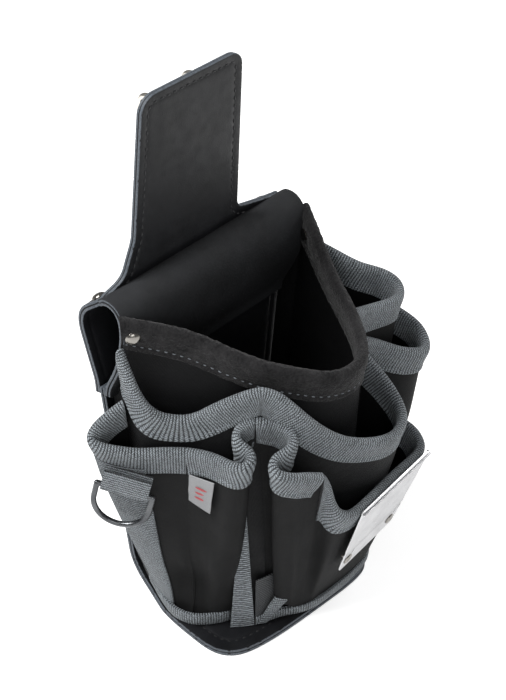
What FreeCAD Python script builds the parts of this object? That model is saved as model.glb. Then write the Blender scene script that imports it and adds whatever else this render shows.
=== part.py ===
"""Electrician tool pouch: leather back and base, belt tunnel, tongue with a wire belt clip,
an open bag with a suede collar and two tiers of bound cloth pockets, a steel plate and a D-ring.

Millimetres. X is the pouch's right seen from the front, -Y its front, +Z up.
Shapes are drawn from the plane of the back panel's inner face, and exported with the
origin on the ground under the middle of the pouch.
"""
import FreeCAD, Part
import math
import os
from FreeCAD import Placement, Rotation, Vector

doc = FreeCAD.newDocument("tool_pouch")

# ---------------------------------------------------------------- driving dimensions
SIZES = [
    ("origin_forward", 55.0, "from the back panel's inner face to the exported origin"),
    ("leather", 2.2, "one ply of leather"),
    ("cloth", 1.8, "padded pocket cloth"),
    ("webbing", 1.3, "one ply of edge webbing"),
    ("suede", 2.0, "suede of the collar"),
    ("binding_depth", 19.0, "half of a 38 mm webbing folded over a rim"),
    ("collar_depth", 21.0, "half of the suede band folded over the mouth"),
    ("hem_depth", 8.0, "binding round the foot of the pockets"),
    ("back_half_top", 88.0, "half width of the back at the tunnel"),
    ("back_half_foot", 66.0, "half width of the back at the bend"),
    ("bend_radius", 38.0, "outer radius of the bend from back to base"),
    ("base_front", 115.0, "from the back panel to the front of the base"),
    ("base_half", 74.0, "half width of the base"),
    ("tunnel_half", 87.0, "half width of the belt tunnel"),
    ("tunnel_foot", 197.0, "height where the tunnel walls meet the back"),
    ("tunnel_crest", 265.0, "height of the top of the tunnel"),
    ("tunnel_rear", 20.5, "how far the tunnel stands behind the back"),
    ("roll_front", 17.0, "how far the tunnel's roll stands into the mouth"),
    ("tongue_foot", 263.6, "height of the tongue's sewn lower edge"),
    ("tongue_rise", 135.0, "length of the tongue from its lower edge"),
    ("tongue_lean", 3.6, "degrees that the tongue leans forwards"),
    ("tongue_left", 52.0, "tongue's left edge from the middle"),
    ("tongue_right", 37.0, "tongue's right edge from the middle"),
    ("shoulder", 85.0, "half width of the tongue's shoulders"),
    ("wire", 1.9, "radius of the belt clip's wire"),
    ("clip_bend", 7.0, "bend radius of the clip at the top of the tongue"),
    ("clip_middle", -13.0, "sideways place of the clip"),
    ("clip_half_top", 19.0, "half the distance between the clip's bends"),
    ("clip_half_foot", 21.0, "half width of the clip's lower loop"),
    ("clip_top", 116.0, "height of the clip's bends up the tongue"),
    ("clip_foot", 24.0, "lower end of the clip's loop"),
    ("ring_wire", 2.0, "radius of the D-ring's wire"),
    ("ring_inner", 34.0, "inside width of the D-ring"),
    ("ring_leg", 12.0, "straight sides of the D-ring"),
    ("ring_play", 0.35, "play of the D-ring in its webbing"),
    ("plate_top", 82.0, "upper width of the steel plate"),
    ("plate_low", 66.0, "lower width of the steel plate"),
    ("plate_rise", 68.0, "height of the steel plate"),
    ("plate_sheet", 1.0, "thickness of the steel plate"),
    ("cap_radius", 5.0, "radius of a rivet's cap"),
    ("cap_rise", 2.6, "height of a rivet's cap"),
    ("post_radius", 1.8, "radius of a rivet's post"),
]
sheet = doc.addObject("Spreadsheet::Sheet", "sizes")
for row, (alias, value, note) in enumerate(SIZES, 1):
    sheet.set("A%d" % row, note)
    sheet.set("B%d" % row, str(value))
    sheet.setAlias("B%d" % row, alias)
doc.recompute()

SUBPARTS = []


def size(alias):
    """Value of one driving dimension."""
    return float(sheet.get(alias))


def keep(piece, label):
    """Name a finished sub-part and put it on the list of pieces to write."""
    piece.Label = label
    SUBPARTS.append(piece)
    return piece


def bound(piece, **formulas):
    """Bind properties of a piece to formulas of the sheet."""
    for name, formula in formulas.items():
        piece.setExpression(name.replace("__", "."), formula)
    return piece


# ---------------------------------------------------------------- drawing helpers
PLANES = {
    "level": Rotation(),
    "front": Rotation(Vector(1, 0, 0), 90),
    "side": Rotation(Vector(1, 1, 1), 120),
}


def rounded(corners):
    """Closed outline through (x, y, radius) corners: straight runs and tangent arcs."""
    points = [Vector(x, y, 0) for x, y, radius in corners]
    count = len(corners)
    starts, ends, bends = [], [], []
    for i, (x, y, radius) in enumerate(corners):
        back = (points[i - 1] - points[i]).normalize()
        ahead = (points[(i + 1) % count] - points[i]).normalize()
        half = back.getAngle(ahead) / 2
        if radius == 0:
            starts.append(points[i])
            ends.append(points[i])
            bends.append(None)
            continue
        reach = radius / math.tan(half)
        centre = points[i] + (back + ahead).normalize() * (radius / math.sin(half))
        starts.append(points[i] + back * reach)
        ends.append(points[i] + ahead * reach)
        bends.append(centre + (points[i] - centre).normalize() * radius)
    edges = []
    for i in range(count):
        if bends[i] is not None:
            edges.append(Part.Arc(starts[i], bends[i], ends[i]))
        after = starts[(i + 1) % count]
        if (after - ends[i]).Length > 0.001:
            edges.append(Part.LineSegment(ends[i], after))
    return edges


def sketch(label, plane, edges, at=Vector()):
    """A sketch on a level, front or side plane."""
    drawing = doc.addObject("Sketcher::SketchObject", label)
    drawing.Placement = Placement(at, PLANES[plane])
    drawing.addGeometry(edges, False)
    return drawing


def extruded(label, drawing, forward, backward="0"):
    """A sketch drawn out along its normal by formulas of the sheet."""
    solid = doc.addObject("Part::Extrusion", label)
    solid.Base = drawing
    solid.DirMode = "Normal"
    solid.Solid = True
    return bound(solid, LengthFwd=forward, LengthRev=backward)


def bent_sheet(label, path, thickness, half_width):
    """A sheet bent along a path in the side plane, as wide as the formula both ways."""
    line = sketch(label + "_path", "side", path)
    band = doc.addObject("Part::Offset2D", label + "_band")
    band.Source = line
    band.Mode = "Skin"
    band.Fill = True
    bound(band, Value=thickness)
    return extruded(label + "_sheet", band, half_width, half_width)


def common(label, *solids):
    """What all of the solids share."""
    piece = doc.addObject("Part::MultiCommon", label)
    piece.Shapes = list(solids)
    return piece


def fused(label, *solids):
    """Several solids as one piece or one group."""
    piece = doc.addObject("Part::MultiFuse", label)
    piece.Shapes = list(solids)
    return piece


def cut(label, solid, tool):
    """The first solid without the second."""
    piece = doc.addObject("Part::Cut", label)
    piece.Base = solid
    piece.Tool = tool
    return piece


# ---------------------------------------------------------------- leather
def base_outline():
    """Plan of the base: sides that open forwards, round corners and a bowed front."""
    half = size("base_half")
    front = size("base_front")
    rear = size("back_half_foot")
    left = Vector(-half, -front + 33, 0)
    left_end = Vector(-half + 12, -front + 17.5, 0)
    right_end = Vector(half - 29, -front + 5, 0)
    right = Vector(half - 5, -front + 32, 0)
    back = [(-rear - 4, -28), (-rear, -2), (-92, 1), (-92, 8),
            (92, 8), (92, 1), (rear, -2), (rear + 4, -28)]
    points = [left] + [Vector(x, y, 0) for x, y in back] + [right]
    edges = [Part.LineSegment(a, b) for a, b in zip(points, points[1:])]
    edges.append(Part.Arc(right, Vector(half - 12, -front + 14, 0), right_end))
    edges.append(Part.Arc(right_end, Vector(4, -front, 0), left_end))
    edges.append(Part.Arc(left_end, Vector(-half + 3, -front + 23, 0), left))
    return edges


def back_and_base():
    """Two plies of one long leather piece: up the back, round the bend and under the bag."""
    ply = size("leather")
    bend = size("bend_radius")
    top = size("tunnel_foot")
    front = size("base_front") + 5
    half_top = size("back_half_top")
    half_foot = size("back_half_foot")
    wide = size("base_half") + 2
    upright = [(-half_top, top, 0), (-half_foot - 4, bend, 0), (-half_foot - 1, 12, 0),
               (-wide, 10, 0), (-wide, -2, 0), (wide, -2, 0), (wide, 10, 0),
               (half_foot + 1, 12, 0), (half_foot + 4, bend, 0), (half_top, top, 0)]
    for number, label in enumerate(("back_base_outer_ply", "back_base_inner_ply")):
        skin = number * ply
        rear = 2 * ply - skin
        radius = bend - skin
        middle = Vector(2 * ply - bend, bend, 0)
        slant = radius * math.sin(math.radians(45))
        path = [
            Part.LineSegment(Vector(rear, top, 0), Vector(rear, bend, 0)),
            Part.Arc(Vector(rear, bend, 0), middle + Vector(slant, -slant, 0),
                     Vector(middle.x, skin, 0)),
            Part.LineSegment(Vector(middle.x, skin, 0), Vector(-front, skin, 0)),
        ]
        sheet_piece = bent_sheet(label, path, "sizes.leather", "sizes.back_half_top + 5")
        plan = sketch(label + "_plan", "level", base_outline(), Vector(0, 0, -5))
        tower = extruded(label + "_tower", plan, "sizes.tunnel_foot + 20")
        face = sketch(label + "_face", "front", rounded(upright), Vector(0, 20, 0))
        slab = extruded(label + "_slab", face, "sizes.base_front + 40")
        keep(common(label, sheet_piece, tower, slab), label)


def tunnel():
    """The belt tunnel: a smooth roll in front and a bowed wall behind, sewn at crest and foot."""
    crest = size("tunnel_crest")
    foot = size("tunnel_foot") + 0.4
    rear = size("tunnel_rear")
    roll = size("roll_front")
    ply = size("leather")
    behind = [
        Part.Arc(Vector(-11, crest, 0), Vector(6, crest - 6.6, 0), Vector(rear, crest - 22, 0)),
        Part.Arc(Vector(rear, crest - 22, 0), Vector(rear - 6, crest - 42, 0),
                 Vector(2 * ply + 0.2, foot, 0)),
    ]
    rear_wall = bent_sheet("tunnel_rear_wall", behind, "sizes.leather", "sizes.tunnel_half")
    keep(rear_wall, "tunnel_rear_wall")
    ahead = [
        Part.Arc(Vector(-11.3, crest, 0), Vector(-16, crest - 5, 0), Vector(-roll, crest - 14, 0)),
        Part.Arc(Vector(-roll, crest - 14, 0), Vector(-12.5, crest - 40, 0),
                 Vector(-0.3, foot, 0)),
    ]
    front_wall = bent_sheet("tunnel_roll", ahead, "-sizes.leather", "sizes.tunnel_half")
    keep(front_wall, "tunnel_roll")


def tongue_place(out=0.0):
    """Frame of the tongue: up along the leaning leather, with its front face at zero."""
    hinge = Vector(0, -0.8, size("tongue_foot"))
    lean = Rotation(Vector(1, 0, 0), size("tongue_lean"))
    return Placement(hinge + lean.multVec(Vector(0, out, 0)), lean)


def tongue():
    """Two plies of leather with sloping shoulders, a hollow neck and round upper corners."""
    left = -size("tongue_left")
    right = size("tongue_right")
    wide = size("shoulder")
    rise = size("tongue_rise")
    outline = [
        (-wide + 5, 0, 0), (-wide + 5, 2.5, 2), (-wide + 20, 8, 14), (left - 4, 34, 24),
        (left + 1, rise, 12), (right, rise - 1, 11), (right + 2, 13, 8), (wide - 18, 6, 18),
        (wide - 1, 2.5, 2), (wide - 1, 0, 0),
    ]
    for number, label in enumerate(("tongue_front_ply", "tongue_rear_ply")):
        drawing = sketch(label + "_outline", "front", rounded(outline))
        blank = extruded(label + "_blank", drawing, "0", "sizes.leather")
        rod = doc.addObject("Part::Cylinder", label + "_root")
        rod.Placement = Placement(Vector(-wide + 5, (1 - number) * size("leather"), 0),
                                  Rotation(Vector(0, 1, 0), 90))
        bound(rod, Radius="sizes.leather", Height="2 * sizes.shoulder - 6")
        slab = doc.addObject("Part::Box", label + "_half")
        slab.Placement = Placement(Vector(-wide, 0, -5), Rotation())
        bound(slab, Length="2 * sizes.shoulder", Width="sizes.leather", Height="10")
        ply = fused(label, blank, common(label + "_round", rod, slab))
        ply.Placement = tongue_place(number * size("leather"))
        keep(ply, label)


# ---------------------------------------------------------------- belt clip
def wire_path(points, radius):
    """Straight wire runs joined by tangent arcs."""
    edges = []
    start = points[0]
    for before, corner, after in zip(points, points[1:], points[2:]):
        back = (before - corner).normalize()
        ahead = (after - corner).normalize()
        half = back.getAngle(ahead) / 2
        reach = radius / math.tan(half)
        centre = corner + (back + ahead).normalize() * (radius / math.sin(half))
        bend = centre + (corner - centre).normalize() * radius
        edges.append(Part.LineSegment(start, corner + back * reach).toShape())
        edges.append(Part.Arc(corner + back * reach, bend, corner + ahead * reach).toShape())
        start = corner + ahead * reach
    edges.append(Part.LineSegment(start, points[-1]).toShape())
    return Part.Wire(edges)


def wire_piece(points, bend, radius):
    """Round wire along a path."""
    path = wire_path(points, bend)
    first = path.Edges[0]
    heading = (first.Vertexes[1].Point - first.Vertexes[0].Point).normalize()
    ring = Part.Wire([Part.Circle(first.Vertexes[0].Point, heading, radius).toShape()])
    return path.makePipeShell([ring], True, False)


def featured(label, shape, place=Placement()):
    """A sub-part whose shape is made here."""
    piece = doc.addObject("Part::Feature", label)
    piece.Shape = shape
    piece.Placement = place
    return keep(piece, label)


def belt_clip():
    """Sprung wire clip: legs against the tongue, two bends on top and a wide loop behind."""
    ply = size("leather")
    wire = size("wire")
    bend = size("clip_bend")
    middle = size("clip_middle")
    inner = 2 * ply + wire + 0.3
    outer = inner + 2 * bend
    top = size("clip_top")
    legs = []
    for side in (-1, 1):
        x = middle + side * size("clip_half_top")
        path = [Vector(x, inner, 22), Vector(x, inner, top + bend),
                Vector(x, outer, top + bend), Vector(x, outer, top - 6)]
        legs.append(wire_piece(path, bend * 0.999, wire))
    featured("clip_legs", Part.makeCompound(legs), tongue_place())
    low = size("clip_foot")
    flare = size("clip_half_foot")
    start = top - 8.2
    hang = outer - 4
    loop = [Vector(middle - size("clip_half_top"), outer, start), Vector(middle - flare, hang, low),
            Vector(middle + flare, hang, low), Vector(middle + size("clip_half_top"), outer, start)]
    half_top = size("clip_half_top")
    bar = Part.makeCylinder(wire, 2 * half_top, Vector(middle - half_top, outer, start),
                            Vector(1, 0, 0))
    ends = [Part.makeSphere(wire, Vector(middle + side * half_top, outer, start))
            for side in (-1, 1)]
    closed = wire_piece(loop, 10, wire).fuse([bar] + ends)
    featured("clip_loop", closed, tongue_place())
    thick = 1.2
    span = size("clip_half_top") + 11
    strap = Part.makeBox(2 * span, thick, 16, Vector(middle - span, inner + wire + 0.1, 34))
    pads = [Part.makeBox(8, inner + wire + 0.1 - 2 * ply, 16,
                         Vector(middle + side * (span - 4) - 4, 2 * ply, 34)) for side in (-1, 1)]
    holes = [Part.makeCylinder(size("post_radius"), 20, Vector(middle + side * (span - 4), 0, 42),
                               Vector(0, 1, 0)) for side in (-1, 1)]
    keeper = strap.fuse(pads).removeSplitter().cut(Part.makeCompound(holes))
    featured("clip_keeper", keeper, tongue_place())
    heads = []
    for side in (-1, 1):
        at = Vector(middle + side * (span - 4), inner + wire + thick + 0.1, 42)
        head = Part.makeCylinder(4, 1.4, at, Vector(0, 1, 0))
        post = Part.makeCylinder(size("post_radius") - 0.05, at.y - 2 * ply, Vector(at.x, 2 * ply, 42),
                                 Vector(0, 1, 0))
        heads.append(head.fuse(post))
    featured("clip_rivets", Part.makeCompound(heads), tongue_place())


# ---------------------------------------------------------------- cloth walls
class Wall:
    """An upright cloth wall: stations along its rim, each with a foot and an outward side."""

    def __init__(self, rim, foot, thickness, spacing=9.0):
        rim = [Vector(*point) for point in rim]
        foot = [Vector(*point) for point in foot]
        steps = [0.0]
        for before, after in zip(rim, rim[1:]):
            steps.append(steps[-1] + math.sqrt((after - before).Length))
        count = max(int(sum((b - a).Length for a, b in zip(rim, rim[1:])) / spacing), 2)
        self.rim = self.smooth(rim, steps, count)
        self.foot = self.smooth(foot, steps, count)
        self.thickness = thickness
        self.out = []
        for i in range(count + 1):
            along = self.rim[min(i + 1, count)] - self.rim[max(i - 1, 0)]
            self.out.append(Vector(along.y, -along.x, 0).normalize())

    @staticmethod
    def smooth(points, steps, count):
        """Evenly stepped points on the smooth curve through the given ones."""
        curve = Part.BSplineCurve()
        curve.interpolate(Points=points, Parameters=steps)
        return [curve.value(steps[-1] * i / count) for i in range(count + 1)]

    def down(self, i):
        return (self.foot[i] - self.rim[i]).normalize()

    def loft(self, section):
        """Smooth solid through the section at every station."""
        wires = []
        for i in range(len(self.rim)):
            corners = section(i)
            wires.append(Part.makePolygon(corners + [corners[0]]))
        return Part.makeLoft(wires, True, True)

    def cloth(self):
        """The wall itself, its outer face on the line of the rim."""
        def section(i):
            skin = self.out[i] * self.thickness
            return [self.rim[i], self.foot[i], self.foot[i] - skin, self.rim[i] - skin]
        return self.loft(section)

    def binding(self, depth, ply):
        """Webbing folded over the rim."""
        def section(i):
            out = self.out[i]
            down = self.down(i)
            near = self.rim[i] + down * depth
            far = near - out * self.thickness
            top = self.rim[i]
            top_far = top - out * self.thickness
            return [near, near + out * ply, top + out * ply - down * ply,
                    top_far - out * ply - down * ply, far - out * ply, far, top_far, top]
        return self.loft(section)

    def hem(self, depth, ply):
        """Webbing sewn round the outside of the foot."""
        def section(i):
            out = self.out[i] * ply
            low = self.foot[i]
            high = low - self.down(i) * depth
            return [low, low + out, high + out, high]
        return self.loft(section)


BAG_RIM = [(-88, -19, 262), (-75, -28, 256), (-56, -45, 247), (-42, -65, 237), (-28, -86, 228),
           (-12, -102, 221), (3, -114, 216), (21, -119, 214), (38, -114, 216), (55, -91, 226),
           (66, -66, 236), (77, -43, 248), (89, -19, 262)]
BAG_FOOT = [(-64, -6, 30), (-62, -22, 12), (-57, -36, 5), (-48, -54, 5), (-34, -77, 5),
            (-16, -88, 5), (2, -94, 5), (22, -98, 5), (40, -97, 5), (56, -88, 5),
            (66, -66, 5), (70, -40, 5), (72, -8, 28)]

UPPER_LEFT_RIM = [(-91, -20, 240), (-91, -27, 226), (-88, -35, 208), (-81, -42, 195),
                  (-74, -49, 191), (-66, -57, 191), (-59, -67, 199), (-51, -78, 208),
                  (-44, -87, 214), (-38, -93, 216)]
UPPER_LEFT_FOOT = [(-68, -8, 28), (-68, -18, 14), (-67, -27, 8), (-64, -34, 6), (-61, -41, 6),
                   (-56, -50, 6), (-51, -60, 6), (-45, -70, 6), (-40, -78, 6), (-36, -83, 6)]

UPPER_RIGHT_RIM = [(-38, -93, 216), (-32, -100, 213), (-24, -110, 202), (-13, -120, 186),
                   (0, -128, 173), (15, -134, 164), (33, -139, 158), (50, -138, 155),
                   (63, -131, 157), (69, -121, 162), (70, -111, 170), (69, -101, 178),
                   (66, -93, 187)]
UPPER_RIGHT_FOOT = [(-36, -83, 6), (-31, -86, 6), (-25, -90, 6), (-14, -94, 6), (0, -99, 6),
                    (14, -102, 6), (29, -103.5, 6), (44, -102.5, 6), (54, -99, 6), (60, -95, 6),
                    (64, -91, 6), (66, -88, 6), (67, -84, 6)]

SIDE_REAR_RIM = [(60, -88, 222), (79, -87, 215), (98, -89, 211), (112, -86, 209),
                 (119, -78, 211), (116, -67, 216), (104, -56, 223), (96, -44, 230),
                 (91, -30, 235)]
SIDE_REAR_FOOT = [(67, -78, 60), (72, -79, 60), (77, -79, 60), (81, -77, 60), (83, -71, 60),
                  (83, -62, 60), (81, -52, 60), (79, -42, 60), (78, -30, 60)]

SIDE_FRONT_RIM = [(68, -90, 196), (81, -93, 187), (94, -101, 178), (108, -107, 172),
                  (119, -106, 170), (126, -96, 175), (127, -81, 180), (121, -65, 186),
                  (108, -52, 192), (92, -40, 199)]
SIDE_FRONT_FOOT = [(69, -80, 45), (78, -84, 45), (88, -89, 45), (97, -92, 45), (102, -87, 45),
                   (104, -78, 45), (103, -67, 45), (99, -56, 45), (91, -45, 45), (80, -34, 45)]

LOWER_LEFT_RIM = [(-88, -18, 196), (-98, -12, 188), (-107, -9, 181), (-111, -10, 175),
                  (-109, -16, 171), (-102, -24, 168), (-93, -34, 166), (-82, -45, 166),
                  (-71, -57, 166)]
LOWER_LEFT_FOOT = [(-60, -5, 32), (-64, -5, 30), (-67, -6, 27), (-69, -10, 21), (-69, -16, 15),
                   (-69, -23, 10), (-68, -32, 7), (-67, -44, 6), (-64, -55, 6)]

LOWER_FRONT_RIM = [(-71, -57, 166), (-66, -68, 167), (-64, -82, 167), (-61, -94, 168),
                   (-56, -98, 171), (-51, -96, 178), (-47, -93, 186), (-44, -90, 192)]
LOWER_FRONT_FOOT = [(-64, -55, 6), (-62, -60, 6), (-59, -66, 6), (-56, -72, 6), (-53, -76, 6),
                    (-50, -79, 6), (-47, -82, 6), (-44, -85, 6)]

SLIM_RIM = [(-40, -98, 196), (-38, -104, 187), (-39, -108, 177), (-43, -112, 169), (-42, -119, 166),
            (-36, -123, 163), (-26, -127, 158), (-15, -131, 152)]
SLIM_FOOT = [(-33, -91, 36), (-34, -94, 34), (-36, -97, 31), (-38, -101, 27), (-35, -104, 23),
             (-29, -105, 18), (-20, -106, 12), (-9, -107, 6)]

TAPE_RIM = [(-15, -131, 152), (-12, -133, 143), (-9, -135, 131), (-6, -137, 121),
            (0, -139, 114), (8, -139, 112), (34, -136.5, 111), (62, -134, 110),
            (86, -131, 110), (94, -125, 111), (98, -115, 113), (97, -104, 116), (92, -96, 120)]
TAPE_FOOT = [(-9, -107, 6), (-6, -106.5, 6), (-3, -107, 6), (0, -107.5, 6), (4, -108, 6),
             (10, -108.5, 6), (28, -109.5, 6), (46, -108.5, 6), (60, -105.5, 6), (68, -100, 6),
             (73, -94, 6), (75, -88, 6), (75, -82, 6)]

POCKETS = [
    ("upper_left_pocket", UPPER_LEFT_RIM, UPPER_LEFT_FOOT),
    ("upper_right_pocket", UPPER_RIGHT_RIM, UPPER_RIGHT_FOOT),
    ("side_rear_pocket", SIDE_REAR_RIM, SIDE_REAR_FOOT),
    ("side_front_pocket", SIDE_FRONT_RIM, SIDE_FRONT_FOOT),
    ("lower_left_pocket", LOWER_LEFT_RIM, LOWER_LEFT_FOOT),
    ("lower_front_pocket", LOWER_FRONT_RIM, LOWER_FRONT_FOOT),
    ("slim_pocket", SLIM_RIM, SLIM_FOOT),
    ("tape_pocket", TAPE_RIM, TAPE_FOOT),
]


def bag_and_collar():
    """The open bag, and the suede band folded over its mouth."""
    wall = Wall(BAG_RIM, BAG_FOOT, size("cloth"))
    featured("bag_wall", wall.cloth())
    featured("suede_collar", wall.binding(size("collar_depth"), size("suede")))


def pockets():
    """Each pocket's cloth and the webbing that binds its rim."""
    for label, rim, foot in POCKETS:
        wall = Wall(rim, foot, size("cloth"))
        featured(label, wall.cloth())
        featured(label.replace("pocket", "binding"),
                 wall.binding(size("binding_depth"), size("webbing")))


def floors():
    """Level cloth bottoms of the two pockets that stand out from the side."""
    for label, line, inner in (("side_rear_floor", SIDE_REAR_FOOT, [(75, -36), (70, -60), (66, -74)]),
                               ("side_front_floor", SIDE_FRONT_FOOT, [(76, -36), (72, -58), (67, -76)])):
        edge = [Vector(x * 0.985, y, z) for x, y, z in line]
        edge += [Vector(x, y, line[0][2]) for x, y in inner]
        outline = Part.Face(Part.makePolygon(edge + [edge[0]]))
        featured(label, outline.extrude(Vector(0, 0, -size("cloth"))))


def hems():
    """Webbing round the foot of the front pockets."""
    left = Wall(LOWER_LEFT_RIM[3:] + LOWER_FRONT_RIM[1:5], LOWER_LEFT_FOOT[3:] + LOWER_FRONT_FOOT[1:5],
                size("cloth"))
    featured("left_hem", left.hem(size("hem_depth"), size("webbing")))
    right = Wall(SLIM_RIM[4:7] + TAPE_RIM[5:10], SLIM_FOOT[4:7] + TAPE_FOOT[5:10], size("cloth"))
    featured("right_hem", right.hem(size("hem_depth"), size("webbing")))


# ---------------------------------------------------------------- corner strip and gusset
def strip(label, rim, foot, ply):
    """A flat strap lying on the cloth, from its upper end to its lower end."""
    wall = Wall(rim, foot, -ply, 30.0)
    return featured(label, wall.cloth())


def corner_pieces():
    """Webbing over the front left corner seam, and the mesh gusset beside the slim pocket."""
    ply = size("webbing")
    strip("corner_strip", [(-45, -90, 193), (-36.5, -98.5, 193)],
          [(-50, -82, 5.5), (-37, -91, 5.5)], ply)
    strip("gusset_mesh", [(-41, -98, 52), (-35, -101, 52)], [(-36, -94, 6), (-30, -97, 6)], ply)


# ---------------------------------------------------------------- plate
def plate_place(out=0.0):
    """Frame of the plate: its inner face's upper left corner, turned and leaning outwards."""
    turn = Rotation(Vector(0, 0, 1), 5) * Rotation(Vector(1, 0, 0), 15.5)
    return Placement(Vector(6.5, -141.8, 112.5) + turn.multVec(Vector(0, -out, 0)), turn)


def steel_plate():
    """Steel plate with a rolled upper edge and a pressed line, held by two rivets."""
    wide = size("plate_top")
    low = size("plate_low")
    rise = size("plate_rise")
    outline = [(0, 0, 0.8), (0, -rise, 4), (low, -rise, 4), (wide, 0, 0.8)]
    blank = extruded("plate_blank", sketch("plate_outline", "front", rounded(outline)),
                     "sizes.plate_sheet")
    roll = doc.addObject("Part::Cylinder", "plate_roll")
    roll.Placement = Placement(Vector(1, -1.2, -0.4), Rotation(Vector(0, 1, 0), 90))
    bound(roll, Radius="sizes.plate_sheet * 1.2", Height="sizes.plate_top - 2")
    drills = []
    for number, x in enumerate((7.5, low - 7.5)):
        drill = doc.addObject("Part::Cylinder", "plate_drill_%d" % number)
        drill.Placement = Placement(Vector(x, 5, 9 - rise), Rotation(Vector(1, 0, 0), 90))
        bound(drill, Radius="sizes.post_radius", Height="12")
        drills.append(drill)
    plate = cut("steel_plate", fused("plate_solid", blank, roll), fused("plate_drills", *drills))
    plate.Placement = plate_place()
    keep(plate, "steel_plate")
    rivets = [rivet(Vector(x, -1.05, 9 - rise), Vector(0, -1, 0), 4.3, 1.5, 3.6)
              for x in (7.5, low - 7.5)]
    featured("plate_rivets", Part.makeCompound(rivets), plate_place())


def rivet(at, facing, radius, rise, grip):
    """A domed cap on a post that reaches back through the leather or cloth."""
    post = size("post_radius") - 0.05
    flat = radius * 0.15
    crown = Part.Arc(Vector(radius, 0, 0), Vector(radius * 0.66, 0, rise * 0.72),
                     Vector(flat, 0, rise)).toShape()
    sides = Part.makePolygon([Vector(flat, 0, rise), Vector(0, 0, rise), Vector(0, 0, -grip),
                              Vector(post, 0, -grip),
                              Vector(post, 0, 0), Vector(radius, 0, 0)]).Edges
    profile = Part.Face(Part.Wire(Part.sortEdges([crown] + sides)[0]))
    solid = profile.revolve(Vector(), Vector(0, 0, 1), 360)
    solid.Placement = Placement(at, Rotation(Vector(0, 0, 1), facing))
    return solid


def collar_rivets():
    """Two domed rivets through the ends of the collar, with a burr behind each."""
    caps, burrs = [], []
    rise = size("cap_rise")
    for at, facing in ((Vector(-82.5, -26.5, 251), Vector(-0.75, -0.62, -0.2)),
                       (Vector(85.5, -34, 252), Vector(0.9, -0.4, -0.15))):
        facing.normalize()
        caps.append(rivet(at, facing, size("cap_radius"), rise, 7.0))
        ring = Part.makeCylinder(4.2, 1.0, at - facing * 8.0, facing)
        hole = Part.makeCylinder(size("post_radius"), 4.0, at - facing * 10.0, facing)
        burrs.append(ring.cut(hole))
    featured("collar_rivet_caps", Part.makeCompound(caps))
    featured("collar_rivet_burrs", Part.makeCompound(burrs))


def shoulder_rivets():
    """Two domed rivets on the rear shoulders of the tunnel, with a burr inside it."""
    caps, burrs = [], []
    facing = Vector(0, 0.6, 0.8).normalize()
    for x in (-76, 76):
        at = Vector(x, 8.2, size("tunnel_crest") - 7.8)
        caps.append(rivet(at, facing, size("cap_radius"), size("cap_rise"), 4.5))
        ring = Part.makeCylinder(4.0, 1.0, at - facing * 4.2, facing)
        hole = Part.makeCylinder(size("post_radius"), 4.0, at - facing * 6.0, facing)
        burrs.append(ring.cut(hole))
    featured("shoulder_rivet_caps", Part.makeCompound(caps))
    featured("shoulder_rivet_burrs", Part.makeCompound(burrs))


# ---------------------------------------------------------------- D-ring
def ring_place():
    """Frame of the D-ring: the bar's middle, the bar along X, the ring hanging down."""
    turn = Rotation(Vector(0, 0, 1), -57) * Rotation(Vector(0, 1, 0), 13)
    return Placement(Vector(-101.5, -30, 136), turn)


def d_ring():
    """D-ring of steel wire: a straight bar, two short sides and a round bow."""
    half = size("ring_inner") / 2 + size("ring_wire")
    leg = size("ring_leg")
    bow = doc.addObject("Part::Torus", "ring_bow")
    bow.Angle3 = 180
    bow.Placement = Placement(Vector(0, 0, -leg), Rotation(Vector(1, 0, 0), -90))
    bound(bow, Radius1="sizes.ring_inner / 2 + sizes.ring_wire", Radius2="sizes.ring_wire")
    bar = doc.addObject("Part::Cylinder", "ring_bar")
    bar.Placement = Placement(Vector(-half, 0, 0), Rotation(Vector(0, 1, 0), 90))
    bound(bar, Radius="sizes.ring_wire", Height="sizes.ring_inner + 2 * sizes.ring_wire")
    solids = [bow, bar]
    for side, name in ((-1, "left"), (1, "right")):
        ball = doc.addObject("Part::Sphere", "ring_corner_" + name)
        ball.Placement = Placement(Vector(side * half, 0, 0), Rotation())
        bound(ball, Radius="sizes.ring_wire")
        straight = doc.addObject("Part::Cylinder", "ring_side_" + name)
        straight.Placement = Placement(Vector(side * half, 0, -leg), Rotation())
        bound(straight, Radius="sizes.ring_wire", Height="sizes.ring_leg")
        solids += [ball, straight]
    ring = fused("d_ring", *solids)
    ring.Placement = ring_place()
    keep(ring, "d_ring")


def ring_webbing():
    """Webbing folded round the D-ring's bar and sewn flat, with the strap that runs down."""
    ply = size("webbing")
    wire = size("ring_wire") + size("ring_play")
    path = [
        Part.LineSegment(Vector(-wire, 11, 0), Vector(-wire, 0, 0)),
        Part.Arc(Vector(-wire, 0, 0), Vector(0, -wire, 0), Vector(wire, 0, 0)),
        Part.LineSegment(Vector(wire, 0, 0), Vector(wire, 11, 0)),
    ]
    line = sketch("ring_loop_path", "side", path)
    band = doc.addObject("Part::Offset2D", "ring_loop_band")
    band.Source = line
    band.Mode = "Skin"
    band.Fill = True
    bound(band, Value="sizes.webbing")
    loop = extruded("ring_loop", band, "sizes.ring_inner / 2 - 1", "sizes.ring_inner / 2 - 1")
    loop.Placement = ring_place()
    keep(loop, "ring_loop")
    strip("ring_strap", [(-108.5, -14, 150), (-92, -38, 150)], [(-69.5, -19, 14), (-68.5, -43, 10)], ply)


def label_tag():
    """Plain cloth tag sewn under the front binding."""
    strip("label_tag", [(-72, -62, 149), (-69, -78, 149)], [(-69, -64, 126), (-66.5, -78, 124)], 0.8)


# ---------------------------------------------------------------- run
back_and_base()
tunnel()
tongue()
belt_clip()
bag_and_collar()
pockets()
floors()
hems()
corner_pieces()
steel_plate()
collar_rivets()
shoulder_rivets()
d_ring()
ring_webbing()
label_tag()

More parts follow.
